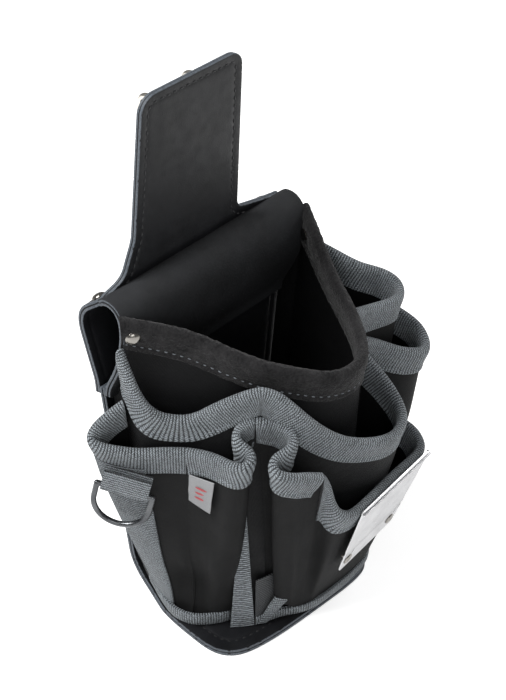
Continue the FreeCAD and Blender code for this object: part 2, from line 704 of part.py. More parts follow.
doc.recompute()
for item in doc.Objects:
    if "Invalid" in item.State or "Error" in item.State:
        raise RuntimeError("failed: " + item.Name)
for piece in SUBPARTS:
    shape = piece.Shape
    if shape.isNull() or not shape.isValid():
        raise RuntimeError("bad shape: " + piece.Label)
    print("%-26s %9.0f mm3" % (piece.Label, shape.Volume), shape.BoundBox)

os.makedirs("parts", exist_ok=True)
for piece in SUBPARTS:
    placed = piece.Shape.copy()
    placed.translate(Vector(0, size("origin_forward"), 0))
    placed.exportStep("parts/%s.step" % piece.Label)
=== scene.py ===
"""Electrician tool pouch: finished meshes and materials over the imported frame.

Shapes are written in millimetres from the plane of the back panel's inner face, as the
part's own drawing is, and become metres of the row frame in `metres`.
"""

import bpy
import bmesh
import math
import numpy as np
from mathutils import Matrix, Vector
from mathutils.geometry import delaunay_2d_cdt


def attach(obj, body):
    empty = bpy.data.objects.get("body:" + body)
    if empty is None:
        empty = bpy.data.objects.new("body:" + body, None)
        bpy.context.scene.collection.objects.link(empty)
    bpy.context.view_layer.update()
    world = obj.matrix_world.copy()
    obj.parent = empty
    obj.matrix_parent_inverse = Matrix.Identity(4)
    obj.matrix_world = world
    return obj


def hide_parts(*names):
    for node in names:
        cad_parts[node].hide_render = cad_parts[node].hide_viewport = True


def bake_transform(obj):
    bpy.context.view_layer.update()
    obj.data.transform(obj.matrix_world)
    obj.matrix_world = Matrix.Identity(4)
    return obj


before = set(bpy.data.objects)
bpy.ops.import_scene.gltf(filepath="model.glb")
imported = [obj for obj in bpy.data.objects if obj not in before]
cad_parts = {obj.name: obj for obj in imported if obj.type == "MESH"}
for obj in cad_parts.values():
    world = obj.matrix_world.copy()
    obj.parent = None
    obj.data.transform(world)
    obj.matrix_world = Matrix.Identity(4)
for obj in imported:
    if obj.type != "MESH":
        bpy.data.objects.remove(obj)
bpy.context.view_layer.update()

ORIGIN_FORWARD = 55.0
LEATHER = 2.2
CLOTH = 1.8


def metres(points):
    """Drawing millimetres to metres in the row frame."""
    return (np.asarray(points, float) + (0.0, ORIGIN_FORWARD, 0.0)) * 0.001


# ---------------------------------------------------------------- materials
class Shader:
    """A small helper that builds one node material."""

    def __init__(self, name):
        self.material = bpy.data.materials.new(name)
        self.material.use_nodes = True
        self.tree = self.material.node_tree
        self.shader = self.tree.nodes["Principled BSDF"]

    def node(self, kind, **values):
        made = self.tree.nodes.new("ShaderNode" + kind)
        for key, value in values.items():
            if hasattr(made, key):
                setattr(made, key, value)
            else:
                self.put(made.inputs[key.replace("_", " ").title()], value)
        return made

    def put(self, socket, value):
        if isinstance(value, bpy.types.NodeSocket):
            self.tree.links.new(value, socket)
        else:
            socket.default_value = value

    def math(self, operation, *values):
        made = self.tree.nodes.new("ShaderNodeMath")
        made.operation = operation
        for socket, value in zip(made.inputs, values):
            self.put(socket, value)
        return made.outputs[0]

    def times(self, a, b):
        return self.math("MULTIPLY", a, b)

    def plus(self, a, b):
        return self.math("ADD", a, b)

    def minus(self, a, b):
        return self.math("SUBTRACT", a, b)

    def hump(self, fraction, power):
        """One in the middle of a cell and nothing at its edges, from -0.5 to 0.5 across it."""
        size = self.math("ABSOLUTE", self.times(fraction, 2.0))
        return self.minus(1.0, self.math("POWER", size, power))

    def uv(self):
        """Millimetres along and across the piece."""
        return self.node("UVMap", uv_map="weave").outputs[0]

    def place(self):
        return self.node("TexCoord").outputs["Object"]

    def split(self, vector):
        made = self.tree.nodes.new("ShaderNodeSeparateXYZ")
        self.put(made.inputs[0], vector)
        return made.outputs[0], made.outputs[1]

    def noise(self, vector, scale, detail=3.0, rough=0.55):
        made = self.node("TexNoise", Scale=scale, Detail=detail, Roughness=rough)
        self.put(made.inputs["Vector"], vector)
        return made.outputs[0]

    def ramp(self, value, *stops):
        made = self.tree.nodes.new("ShaderNodeValToRGB")
        ramp = made.color_ramp
        while len(ramp.elements) < len(stops):
            ramp.elements.new(0.5)
        for element, (where, colour) in zip(ramp.elements, stops):
            element.position = where
            element.color = (*colour, 1.0) if hasattr(colour, "__len__") else (colour,) * 3 + (1.0,)
        self.put(made.inputs[0], value)
        return made.outputs[0]

    def bump(self, height, distance, strength=1.0, under=None):
        made = self.node("Bump", Distance=distance, Strength=strength)
        self.put(made.inputs["Height"], height)
        if under is not None:
            self.put(made.inputs["Normal"], under)
        return made.outputs[0]

    def finish(self, **values):
        for key, value in values.items():
            self.put(self.shader.inputs[key.replace("_", " ")], value)
        return self.material


def leather(name, low, high, rough=(0.36, 0.5), grain=0.00022):
    s = Shader(name)
    at = s.place()
    cells = s.node("TexVoronoi", feature="DISTANCE_TO_EDGE", Scale=760.0)
    s.put(cells.inputs["Vector"], at)
    creases = s.math("MINIMUM", cells.outputs[0], 0.25)
    fine = s.noise(at, 1500.0, 4.0)
    broad = s.noise(at, 34.0, 5.0)
    height = s.plus(s.times(creases, 1.6), s.times(fine, 0.5))
    grained = s.bump(height, grain, 0.42)
    waved = s.bump(broad, 0.0016, 0.22, grained)
    return s.finish(Base_Color=s.ramp(broad, (0.3, low), (0.7, high)),
                    Roughness=s.ramp(s.noise(at, 130.0), (0.3, rough[0]), (0.7, rough[1])),
                    Normal=waved, Specular_IOR_Level=0.2)


def cut_edge(name):
    s = Shader(name)
    at = s.place()
    fibres = s.noise(at, 900.0, 5.0)
    dark, light = (0.022, 0.027, 0.034), (0.08, 0.094, 0.112)
    return s.finish(Base_Color=s.ramp(fibres, (0.3, dark), (0.72, light)), Roughness=0.62,
                    Normal=s.bump(fibres, 0.0003, 0.6))


def webbing(name, dark, light, pitch=1.9, row=1.75):
    """Ribbed webbing: columns of slanting knots across the band, each half a knot off the next; the colour
    follows knot height, with painted shade in the gaps and a painted highlight on the knot tops.
    """
    s = Shader(name)
    along, across = s.split(s.uv())
    wander = s.times(s.minus(s.noise(s.place(), 260.0, 2.0), 0.5), 0.55)
    column = s.math("DIVIDE", s.plus(along, wander), pitch)
    parity = s.math("FLOORED_MODULO", s.math("FLOOR", column), 2.0)
    sideways = s.minus(s.math("FRACT", column), 0.5)
    lean = s.times(sideways, s.math("MULTIPLY_ADD", parity, 2.0, -1.0))
    level = s.plus(s.math("DIVIDE", s.plus(across, wander), row),
                   s.math("MULTIPLY_ADD", parity, 0.5, s.times(lean, 1.1)))
    upward = s.minus(s.math("FRACT", level), 0.5)
    round_side = s.hump(sideways, 2.2)
    round_up = s.hump(upward, 2.6)
    knot = s.times(round_side, s.math("MULTIPLY_ADD", round_up, 0.85, 0.15))
    fuzz = s.noise(s.place(), 620.0, 4.0)
    knob = s.plus(knot, s.times(s.minus(fuzz, 0.5), 1.1))
    tone = s.noise(s.place(), 70.0, 3.0)
    # Knot height sets the colour: the dark end is painted shade in the gaps between knots and the light end
    # a painted highlight on the knot tops; the slow tone noise is the band's own uneven colour.
    tint = s.plus(knob, s.times(s.minus(tone, 0.5), 0.3))
    middle = tuple((a * 0.6 + b * 0.4) for a, b in zip(dark, light))
    return s.finish(Base_Color=s.ramp(tint, (0.12, dark), (0.5, middle), (0.92, light)),
                    Roughness=0.7, Sheen_Weight=0.08, Sheen_Roughness=0.5,
                    Specular_IOR_Level=0.3, Normal=s.bump(knob, 0.0009, 1.0))


def woven(name, dark, light, rough=0.62, sheen=0.12, size=5.6):
    """Plain weave of round yarns, a little uneven, over soft dents."""
    s = Shader(name)
    along, across = s.split(s.uv())
    warp = s.math("SINE", s.times(along, size))
    weft = s.math("SINE", s.times(across, size))
    cell = s.math("MULTIPLY_ADD", s.times(warp, weft), 0.5, 0.5)
    fuzz = s.noise(s.place(), 1700.0, 3.0)
    cloth = s.plus(s.times(cell, 0.75), s.times(fuzz, 0.6))
    broad = s.noise(s.place(), 42.0, 4.0)
    tint = s.plus(s.times(cloth, 0.6), s.times(broad, 0.5))
    folded = s.bump(broad, 0.0035, 0.3, s.bump(cloth, 0.00035, 0.75))
    return s.finish(Base_Color=s.ramp(tint, (0.3, dark), (0.85, light)), Roughness=rough,
                    Sheen_Weight=sheen, Sheen_Roughness=0.45, Specular_IOR_Level=0.08, Normal=folded)


def suede(name):
    s = Shader(name)
    at = s.place()
    nap = s.noise(at, 620.0, 7.0, 0.7)
    broad = s.noise(at, 75.0, 4.0)
    tint = s.plus(s.times(nap, 0.65), s.times(broad, 0.4))
    return s.finish(Base_Color=s.ramp(tint, (0.38, (0.004, 0.004, 0.0045)), (0.75, (0.034, 0.033, 0.034))),
                    Roughness=0.92, Sheen_Weight=0.1, Sheen_Roughness=0.35,
                    Specular_IOR_Level=0.15, Normal=s.bump(nap, 0.0014, 0.9))


def metal(name, low, high, rough, streak=(1.0, 1.0, 1.0), wear=0.0002):
    s = Shader(name)
    stretch = s.node("Mapping")
    s.put(stretch.inputs[0], s.place())
    stretch.inputs["Scale"].default_value = streak
    lines = s.noise(stretch.outputs[0], 1400.0, 4.0)
    broad = s.noise(s.place(), 60.0, 3.0)
    return s.finish(Base_Color=s.ramp(broad, (0.3, low), (0.7, high)), Metallic=1.0,
                    Roughness=s.ramp(lines, (0.3, rough[0]), (0.7, rough[1])),
                    Normal=s.bump(lines, wear, 0.35))


def netting(name):
    s = Shader(name)
    along, across = s.split(s.uv())
    a = s.math("ABSOLUTE", s.math("SINE", s.times(s.plus(along, across), 1.5)))
    b = s.math("ABSOLUTE", s.math("SINE", s.times(s.minus(along, across), 1.5)))
    threads = s.minus(1.0, s.times(a, b))
    return s.finish(Base_Color=s.ramp(threads, (0.35, (0.004, 0.004, 0.005)), (0.8, (0.06, 0.065, 0.07))),
                    Roughness=0.7, Normal=s.bump(threads, 0.0006, 0.9))


def thread(name, colour):
    s = Shader(name)
    twist = s.noise(s.place(), 2400.0, 2.0)
    dark = tuple(c * 0.5 for c in colour)
    return s.finish(Base_Color=s.ramp(twist, (0.3, dark), (0.7, colour)), Roughness=0.6,
                    Normal=s.bump(twist, 0.0002, 0.6))


LOOKS = {
    "leather": leather("black_leather", (0.005, 0.0052, 0.006), (0.0095, 0.0099, 0.0115)),
    "leather_flesh": leather("leather_back", (0.012, 0.0125, 0.0135), (0.02, 0.021, 0.023),
                             (0.7, 0.85), 0.0005),
    "edge": cut_edge("leather_cut_edge"),
    # The webbing's dark end is painted shade between the knots and its light end a painted highlight on
    # their tops.
    "webbing": webbing("grey_webbing", (0.004, 0.0048, 0.006), (0.27, 0.3, 0.322)),
    "cloth": woven("dark_cloth", (0.0028, 0.0028, 0.003), (0.0125, 0.0127, 0.013), 0.62, 0.0),
    "panel": woven("panel_cloth", (0.003, 0.0031, 0.0033), (0.011, 0.0112, 0.012), 0.45, 0.01),
    "lining": woven("black_lining", (0.0018, 0.0018, 0.002), (0.006, 0.006, 0.0064), 0.6, 0.0),
    "suede": suede("black_suede"),
    "steel": metal("bright_steel", (0.5, 0.5, 0.51), (0.62, 0.62, 0.63), (0.26, 0.4), (0.05, 1.0, 1.0)),
    "rivet": metal("nickel_brass", (0.2, 0.19, 0.175), (0.3, 0.285, 0.26), (0.16, 0.26)),
    "nickel": metal("nickel_wire", (0.56, 0.53, 0.48), (0.72, 0.69, 0.63), (0.12, 0.22)),
    "dark_steel": metal("gunmetal", (0.07, 0.073, 0.078), (0.13, 0.135, 0.14), (0.22, 0.34)),
    "mesh": netting("gusset_netting"),
    "label": woven("label_cloth", (0.17, 0.173, 0.18), (0.29, 0.293, 0.3), 0.8, 0.05, 9.0),
    "mark": thread("label_print", (0.42, 0.05, 0.06)),
    "black_thread": thread("black_thread", (0.02, 0.021, 0.023)),
    "grey_thread": thread("grey_thread", (0.17, 0.19, 0.21)),
    # Near-black look that paints the shade inside stitch holes and plate slots.
    "hole": thread("shadowed_hole", (0.002, 0.002, 0.002)),
}


# ---------------------------------------------------------------- meshes
def make(name, points, faces, looks, index=None, uvs=None, body="pouch", slot=None,
         nodes=(), sharp=42.0):
    """One finished piece in the row frame."""
    mesh = bpy.data.meshes.new(name)
    mesh.from_pydata(metres(points).tolist(), [], [list(map(int, f)) for f in faces])
    for look in looks:
        mesh.materials.append(LOOKS[look])
    if index is not None:
        mesh.polygons.foreach_set("material_index", np.asarray(index, np.int32))
    if uvs is not None:
        layer = mesh.uv_layers.new(name="weave")
        corner = np.empty(len(mesh.loops), np.int32)
        mesh.loops.foreach_get("vertex_index", corner)
        layer.data.foreach_set("uv", np.asarray(uvs, np.float32)[corner].ravel())
    shape = bmesh.new()
    shape.from_mesh(mesh)
    bmesh.ops.recalc_face_normals(shape, faces=shape.faces)
    shape.to_mesh(mesh)
    shape.free()
    mesh.update()
    made = bpy.data.objects.new(name, mesh)
    bpy.context.scene.collection.objects.link(made)
    made.data.shade_smooth()
    made.data.set_sharp_from_angle(angle=math.radians(sharp))
    if body:
        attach(made, body)
    if nodes:
        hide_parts(*nodes)
    return made


def swept(name, front, back, across, looks=("cloth", "lining", "cloth"), **how):
    """A solid band between two lattices of the same stations, front face and back face."""
    count, wide = front.shape[:2]
    loop = np.concatenate([front, back[:, ::-1]], axis=1)
    size = 2 * wide
    ids = np.arange(count * size).reshape(count, size)
    after = np.roll(ids, -1, axis=1)
    quads = np.stack([ids[:-1], after[:-1], after[1:], ids[1:]], axis=-1)
    kind = np.full(size, 0)
    kind[wide - 1] = kind[-1] = 2
    kind[wide:-1] = 1
    index = np.broadcast_to(kind, (count - 1, size)).ravel()
    half = np.arange(wide - 1)
    caps = [np.stack([row[half], row[half + 1], row[size - 2 - half], row[size - 1 - half]], axis=-1)
            for row in (ids[0], ids[-1])]
    faces = np.concatenate([quads.reshape(-1, 4)] + caps)
    index = np.concatenate([index, np.full(2 * (wide - 1), 2)])
    middle = front[:, wide // 2]
    along = run_of(middle)
    across = np.asarray(across, float)
    if across.ndim == 1:
        across = np.broadcast_to(across, (count, wide))
    both = np.concatenate([across, across[:, ::-1]], axis=1)
    uvs = np.stack([np.broadcast_to(along[:, None], both.shape), both], axis=-1).reshape(-1, 2)
    return make(name, loop.reshape(-1, 3), faces, looks, index, uvs, **how)


def run_of(points):
    """Distance run at each point of a line."""
    return np.concatenate([[0], np.cumsum(np.linalg.norm(np.diff(points, axis=0), axis=1))])


def unit(vectors):
    return vectors / np.maximum(np.linalg.norm(vectors, axis=-1, keepdims=True), 1e-9)


def smoothed(values, times):
    """Running average along the first axis, with the ends kept."""
    for _ in range(times):
        inner = (values[:-2] + values[1:-1] * 2 + values[2:]) / 4
        values = np.concatenate([values[:1], inner, values[-1:]])
    return values


def ease(values, low, high):
    t = np.clip((values - low) / (high - low), 0, 1)
    return t * t * (3 - 2 * t)


class Spline:
    """Natural cubic through the points, over 0 to 1."""

    def __init__(self, points, knots=None):
        self.points = np.array(points, float)
        if knots is None:
            knots = np.concatenate([[0], np.cumsum(
                np.sqrt(np.linalg.norm(np.diff(self.points, axis=0), axis=1)))])
        self.knots = knots / knots[-1]
        count = len(self.points)
        gap = np.diff(self.knots)
        rise = np.diff(self.points, axis=0) / gap[:, None]
        system = np.zeros((count, count))
        right = np.zeros_like(self.points)
        system[0, 0] = system[-1, -1] = 1
        for i in range(1, count - 1):
            system[i, i - 1:i + 2] = gap[i - 1], 2 * (gap[i - 1] + gap[i]), gap[i]
            right[i] = 6 * (rise[i] - rise[i - 1])
        self.bend = np.linalg.solve(system, right)

    def __call__(self, t):
        t = np.asarray(t, float)
        i = np.clip(np.searchsorted(self.knots, t, side="right") - 1, 0, len(self.knots) - 2)
        gap = (self.knots[i + 1] - self.knots[i])[..., None]
        a = (self.knots[i + 1] - t)[..., None] / gap
        b = 1 - a
        curved = ((a ** 3 - a) * self.bend[i] + (b ** 3 - b) * self.bend[i + 1]) * gap ** 2 / 6
        return a * self.points[i] + b * self.points[i + 1] + curved

    def even(self, step):
        """Parameters at an even step along the curve."""
        t = np.linspace(0, 1, 1200)
        run = run_of(self(t))
        return np.interp(np.linspace(0, run[-1], max(int(run[-1] / step), 3) + 1), run, t)


def stitches(name, points, normals, look, pitch=5.5, long=3.9, wide=0.95, high=0.55,
             body="pouch", slot=None):
    """A row of thread stitches, half sunk along a line over a surface."""
    points = np.asarray(points, float)
    run = run_of(points)
    count = max(int(run[-1] / pitch), 1)
    verts, faces = [], []
    rings, around = 5, 6
    for k in range(count):
        mid = (k + 0.5) * run[-1] / count
        ends = [np.array([np.interp(mid + s * long / 2, run, points[:, a]) for a in range(3)])
                for s in (-1, 1)]
        centre = np.array([np.interp(mid, run, points[:, a]) for a in range(3)])
        up = unit(np.array([np.interp(mid, run, normals[:, a]) for a in range(3)]))
        ahead = unit(ends[1] - ends[0])
        side = np.cross(up, ahead)
        first = len(verts)
        verts.append(centre - ahead * long / 2 - up * 0.25)
        for r in range(1, rings + 1):
            t = r / (rings + 1)
            girth = math.sin(math.pi * t) ** 0.5
            spine = centre + ahead * long * (t - 0.5)
            for a in range(around):
                angle = 2 * math.pi * a / around
                verts.append(spine + side * math.cos(angle) * wide / 2 * girth
                             + up * (math.sin(angle) * high * girth))
        verts.append(centre + ahead * long / 2 - up * 0.25)
        last = len(verts) - 1
        for a in range(around):
            b = (a + 1) % around
            faces.append((first, first + 1 + a, first + 1 + b))
            for r in range(rings - 1):
                low = first + 1 + r * around
                faces.append((low + a, low + around + a, low + around + b, low + b))
            low = first + 1 + (rings - 1) * around
            faces.append((low + a, last, low + b))
    return make(name, verts, faces, (look,), body=body, slot=slot, sharp=80)


def sewn(name, points, normals, long=2.6, high=0.45):
    """The grey thread that holds the webbing."""
    stitches(name, points, normals, "grey_thread", 4.2, long, 0.8, high, slot="webbing")


# ---------------------------------------------------------------- cloth walls
class Wall:
    """An upright cloth wall between its rim and its foot, with soft folds."""

    def __init__(self, rim, foot, seed, bulge=0.0, relief=(), folds=0.5, thick=CLOTH):
        knots = np.concatenate([[0], np.cumsum(np.sqrt(
            np.linalg.norm(np.diff(np.array(rim, float), axis=0), axis=1)))])
        self.rim = Spline(rim, knots)
        self.foot = Spline(foot, knots)
        self.bulge = bulge
        self.relief = relief
        self.thick = thick
        self.folds = folds
        draw = np.random.default_rng(seed)
        self.waves = [(draw.uniform(0.8, 2.8), draw.uniform(-1.3, 1.3), draw.uniform(0, 6.28),
                       draw.uniform(0.5, 1.0)) for _ in range(4)]

    def at(self, u, v):
        u = np.clip(u, 0, 1)
        rim = self.rim(u)
        foot = self.foot(u)
        e = 0.012
        a, b = np.clip(u - e, 0, 1), np.clip(u + e, 0, 1)
        down = v[..., None]
        along = (self.rim(b) - self.rim(a)) * (1 - down) + (self.foot(b) - self.foot(a)) * down
        out = unit(np.stack([along[..., 1], -along[..., 0], np.zeros_like(u)], axis=-1))
        push = self.bulge * np.sin(np.pi * np.clip(v, 0, 1)) * np.clip(np.sin(np.pi * u), 0, 1) ** 0.6
        for fu, fv, phase, size in self.waves:
            push = push + self.folds * size * np.sin(2 * np.pi * (fu * u + fv * v) + phase)
        held = ease(v, 0.02, 0.22) * (1 - ease(v, 0.86, 1.0)) * ease(u, 0, 0.06) * (1 - ease(u, 0.94, 1))
        push = push * held
        for u0, v0, su, sv, amount in self.relief:
            push = push + amount * np.exp(-((u - u0) / su) ** 2 - ((v - v0) / sv) ** 2)
        return rim + (foot - rim) * v[..., None] + out * push[..., None]

    def normal(self, u, v):
        e = 2e-3
        across = self.at(np.clip(u + e, 0, 1), v) - self.at(np.clip(u - e, 0, 1), v)
        down = self.at(u, v + e) - self.at(u, v - e)
        return unit(np.cross(down, across))

    def cloth(self, name, step=2.6, look="cloth", **how):
        u = self.rim.even(step)
        height = np.linalg.norm(self.rim(u) - self.foot(u), axis=1)
        rows = int(height.mean() / step) + 2
        grid_u, grid_v = np.meshgrid(u, np.linspace(0, 1, rows), indexing="ij")
        front = self.at(grid_u, grid_v)
        skin = self.normal(grid_u, grid_v)
        skin = smoothed(skin, 2)
        back = front - unit(skin) * self.thick
        across = grid_v * height[:, None]
        return swept(name, front, back, across, (look, "lining", look), **how)

    def tracks(self, stations, depth, turn=10):
        """Lines over the cloth square to the rim, a millimetre a step."""
        u, v = stations.copy(), np.zeros_like(stations)
        e = 1e-3
        want = None
        lines = [(u.copy(), v.copy())]
        for _ in range(int(depth) + 1):
            su = (self.at(np.clip(u + e, 0, 1), v) - self.at(np.clip(u - e, 0, 1), v))
            su = su / (np.clip(u + e, 0, 1) - np.clip(u - e, 0, 1))[:, None]
            sv = (self.at(u, v + e) - self.at(u, v)) / e
            if want is None:
                along = unit(su)
                want = unit(sv - along * np.sum(sv * along, axis=1, keepdims=True))
                want = unit(smoothed(want, turn))
            skin = unit(np.cross(sv, su))
            want = unit(want - skin * np.sum(want * skin, axis=1, keepdims=True))
            uu, uv, vv = np.sum(su * su, 1), np.sum(su * sv, 1), np.sum(sv * sv, 1)
            wu, wv = np.sum(su * want, 1), np.sum(sv * want, 1)
            det = np.maximum(uu * vv - uv * uv, 1e-6)
            u = np.clip(u + (wu * vv - wv * uv) / det, 0, 1)
            v = np.clip(v + (wv * uu - wu * uv) / det, 0, 1)
            u, v = smoothed(u[:, None], 2)[:, 0], smoothed(v[:, None], 2)[:, 0]
            lines.append((u.copy(), v.copy()))
        return np.array(lines)

    def bound(self, name, section, look="webbing", step=1.5, rough=0.0, seed=0, **how):
        """A band folded over the rim, from its section of (out, down) points."""
        stations = self.rim.even(step)
        outline = Spline(section)(np.linspace(0, 1, 44))
        depth = outline[:, 1].max()
        lines = self.tracks(stations, depth)
        first_in = unit(self.at(*lines[1]) - self.at(*lines[0]))

        def shell(pairs):
            layers = []
            for out, down in pairs:
                d = np.clip(down, 0, None)
                k = min(int(d), len(lines) - 2)
                part = d - k
                u = lines[k][0] * (1 - part) + lines[k + 1][0] * part
                v = lines[k][1] * (1 - part) + lines[k + 1][1] * part
                normal = unit(smoothed(self.normal(u, v), 3))
                layers.append(self.at(u, v) + normal * out + first_in * min(down, 0))
            return np.stack(layers, axis=1)

        front = shell(outline)
        inner = [(np.clip(o, -self.thick - 0.05, 0.05), max(d, 0.15)) for o, d in outline]
        back = shell(inner)
        if rough:
            draw = np.random.default_rng(seed)
            nap = draw.normal(0, rough, front.shape[:2])
            nap = nap + np.roll(nap, 1, 0) * 0.6
            away = unit(front - back)
            front = front + away * nap[..., None]
        across = run_of(outline)
        return swept(name, front, back, across, (look, look, look), slot=how.pop("slot", None), **how)

    def line(self, depth, out, step=1.5, start=0.0, end=1.0):
        """Points and normals along the rim at a depth below it."""
        stations = self.rim.even(step)
        lines = self.tracks(stations, depth)
        u, v = lines[int(depth)]
        skin = unit(smoothed(self.normal(u, v), 3))
        keep = (stations >= start) & (stations <= end)
        return (self.at(u, v) + skin * out)[keep], skin[keep]


BAG_RIM = [(-88, -19, 262), (-75, -28, 256), (-56, -45, 247), (-42, -65, 237), (-28, -86, 228),
           (-12, -102, 221), (3, -114, 216), (21, -119, 214), (38, -114, 216), (55, -91, 226),
           (66, -66, 236), (77, -43, 248), (89, -19, 262)]
BAG_FOOT = [(-64, -6, 30), (-62, -22, 12), (-57, -36, 5), (-48, -54, 5), (-34, -77, 5),
            (-16, -88, 5), (2, -94, 5), (22, -98, 5), (40, -97, 5), (56, -88, 5),
            (66, -66, 5), (70, -40, 5), (72, -8, 28)]
UPPER_LEFT_RIM = [(-91, -20, 240), (-91, -27, 226), (-88, -35, 208), (-81, -42, 195),
                  (-74, -49, 191), (-66, -57, 191), (-59, -67, 199), (-51, -78, 208),
                  (-44, -87, 214), (-38, -93, 216)]
UPPER_LEFT_FOOT = [(-68, -8, 28), (-68, -18, 14), (-67, -27, 8), (-64, -34, 6), (-61, -41, 6),
                   (-56, -50, 6), (-51, -60, 6), (-45, -70, 6), (-40, -78, 6), (-36, -83, 6)]
UPPER_RIGHT_RIM = [(-38, -93, 216), (-32, -100, 213), (-24, -110, 202), (-13, -120, 186),
                   (0, -128, 173), (15, -134, 164), (33, -139, 158), (50, -138, 155),
                   (63, -131, 157), (69, -121, 162), (70, -111, 170), (69, -101, 178),
                   (66, -93, 187)]
UPPER_RIGHT_FOOT = [(-36, -83, 6), (-31, -86, 6), (-25, -90, 6), (-14, -94, 6), (0, -99, 6),
                    (14, -102, 6), (29, -103.5, 6), (44, -102.5, 6), (54, -99, 6), (60, -95, 6),
                    (64, -91, 6), (66, -88, 6), (67, -84, 6)]
SIDE_REAR_RIM = [(60, -88, 222), (79, -87, 215), (98, -89, 211), (112, -86, 209),
                 (119, -78, 211), (116, -67, 216), (104, -56, 223), (96, -44, 230),
                 (91, -30, 235)]
SIDE_REAR_FOOT = [(67, -78, 60), (72, -79, 60), (77, -79, 60), (81, -77, 60), (83, -71, 60),
                  (83, -62, 60), (81, -52, 60), (79, -42, 60), (78, -30, 60)]
SIDE_FRONT_RIM = [(68, -90, 196), (81, -93, 187), (94, -101, 178), (108, -107, 172),
                  (119, -106, 170), (126, -96, 175), (127, -81, 180), (121, -65, 186),
                  (108, -52, 192), (92, -40, 199)]
SIDE_FRONT_FOOT = [(69, -80, 45), (78, -84, 45), (88, -89, 45), (97, -92, 45), (102, -87, 45),
                   (104, -78, 45), (103, -67, 45), (99, -56, 45), (91, -45, 45), (80, -34, 45)]
LOWER_LEFT_RIM = [(-88, -18, 196), (-98, -12, 188), (-107, -9, 181), (-111, -10, 175),
                  (-109, -16, 171), (-102, -24, 168), (-93, -34, 166), (-82, -45, 166),
                  (-71, -57, 166)]
LOWER_LEFT_FOOT = [(-60, -5, 32), (-63, -5, 30), (-65, -6, 27), (-66, -10, 21), (-66.5, -16, 15),
                   (-67, -23, 10), (-69, -32, 7), (-70.5, -43, 6), (-68.5, -55, 6)]
LOWER_FRONT_RIM = [(-71, -57, 166), (-66, -69, 167), (-64, -81, 168), (-63, -92, 169),
                   (-59.5, -99, 170.5), (-53.5, -99.5, 173), (-51, -95, 177), (-52.5, -89, 181),
                   (-51.5, -85.5, 185.5), (-47, -86, 190), (-41, -90, 193)]
LOWER_FRONT_FOOT = [(-68.5, -55, 6), (-65.5, -60, 6), (-62, -64, 6), (-58, -67, 6), (-54, -70, 6),
                    (-51, -72.5, 6), (-49.5, -74, 6), (-48.5, -75.5, 6), (-47.5, -77, 6),
                    (-46, -79, 6), (-43, -82, 6)]
SLIM_RIM = [(-41, -91, 193), (-37.5, -95, 192.5), (-32.5, -99.5, 190.5), (-29, -107, 187),
            (-31, -113, 183), (-36.5, -113, 178.5), (-41.5, -109.5, 174.5), (-46.5, -110, 171),
            (-48.5, -114.5, 168),
            (-45, -120, 165), (-34.3, -125.4, 161), (-20.5, -130.9, 155)]
SLIM_FOOT = [(-32, -88.5, 34), (-30, -90, 33), (-28, -91, 32), (-26, -93, 31), (-25, -95, 30),
             (-26, -96, 29), (-27.5, -96.5, 28), (-28.5, -97.5, 26), (-27, -100, 23), (-23, -102, 20),
             (-17, -103.5, 15), (-10, -105.5, 8)]
TAPE_RIM = [(-20.5, -130.9, 155), (-16.5, -131.3, 146), (-14, -133, 132), (-9.5, -137, 120),
            (-2, -139.5, 114.5), (6, -140, 112.5), (34, -137.5, 111), (62, -134.5, 110),
            (86, -131.5, 110), (94, -125, 111), (98, -115, 113), (97, -104, 116), (92, -96, 120)]
TAPE_FOOT = [(-10, -105.5, 8), (-7, -106, 6), (-4, -106.5, 6), (-1, -107, 6), (4, -107.5, 6),
             (10, -108, 6), (28, -109, 6), (46, -108, 6), (60, -105, 6), (68, -100, 6),
             (73, -94, 6), (75, -88, 6), (75, -82, 6)]

# (out, down) points of a folded band's outer face: down one side, over the rim, up the other
WEBBING_FOLD = [(1.2, 19), (1.5, 18.2), (1.35, 16), (1.3, 14), (1.8, 11), (2.4, 7), (2.7, 3.6),
                (2.3, 0.9), (1.1, -1.0), (-0.9, -1.7), (-2.9, -1.0), (-4.1, 0.9), (-4.5, 3.6),
                (-4.2, 7), (-3.6, 11), (-3.1, 14), (-3.15, 16), (-3.3, 18.2), (-3.0, 19)]
SUEDE_FOLD = [(1.9, 21), (2.3, 20), (1.9, 18), (1.75, 16.6), (2.4, 13), (3.0, 8), (3.2, 4),
              (2.7, 1.2), (1.3, -1.0), (-0.9, -1.9), (-3.1, -1.0), (-4.5, 1.2), (-5.0, 4),
              (-4.8, 8), (-4.2, 13), (-3.55, 16.6), (-3.7, 18), (-4.1, 20), (-3.7, 21)]


BAG = Wall(BAG_RIM, BAG_FOOT, 3, 1.0, folds=0.6)


def bag():
    """The main bag's wall and its suede collar."""
    BAG.cloth("bag_wall_cloth", look="panel", slot="cloth", nodes=["bag_wall"])
    BAG.bound("suede_band", SUEDE_FOLD, "suede", 1.3, 0.16, 11, slot="suede", nodes=["suede_collar"])
    points, skin = BAG.line(17, 1.75, start=0.02, end=0.98)
    stitches("suede_band_stitches", points, skin, "grey_thread", 5.2, 2.6, 0.8, 0.5, slot="suede")


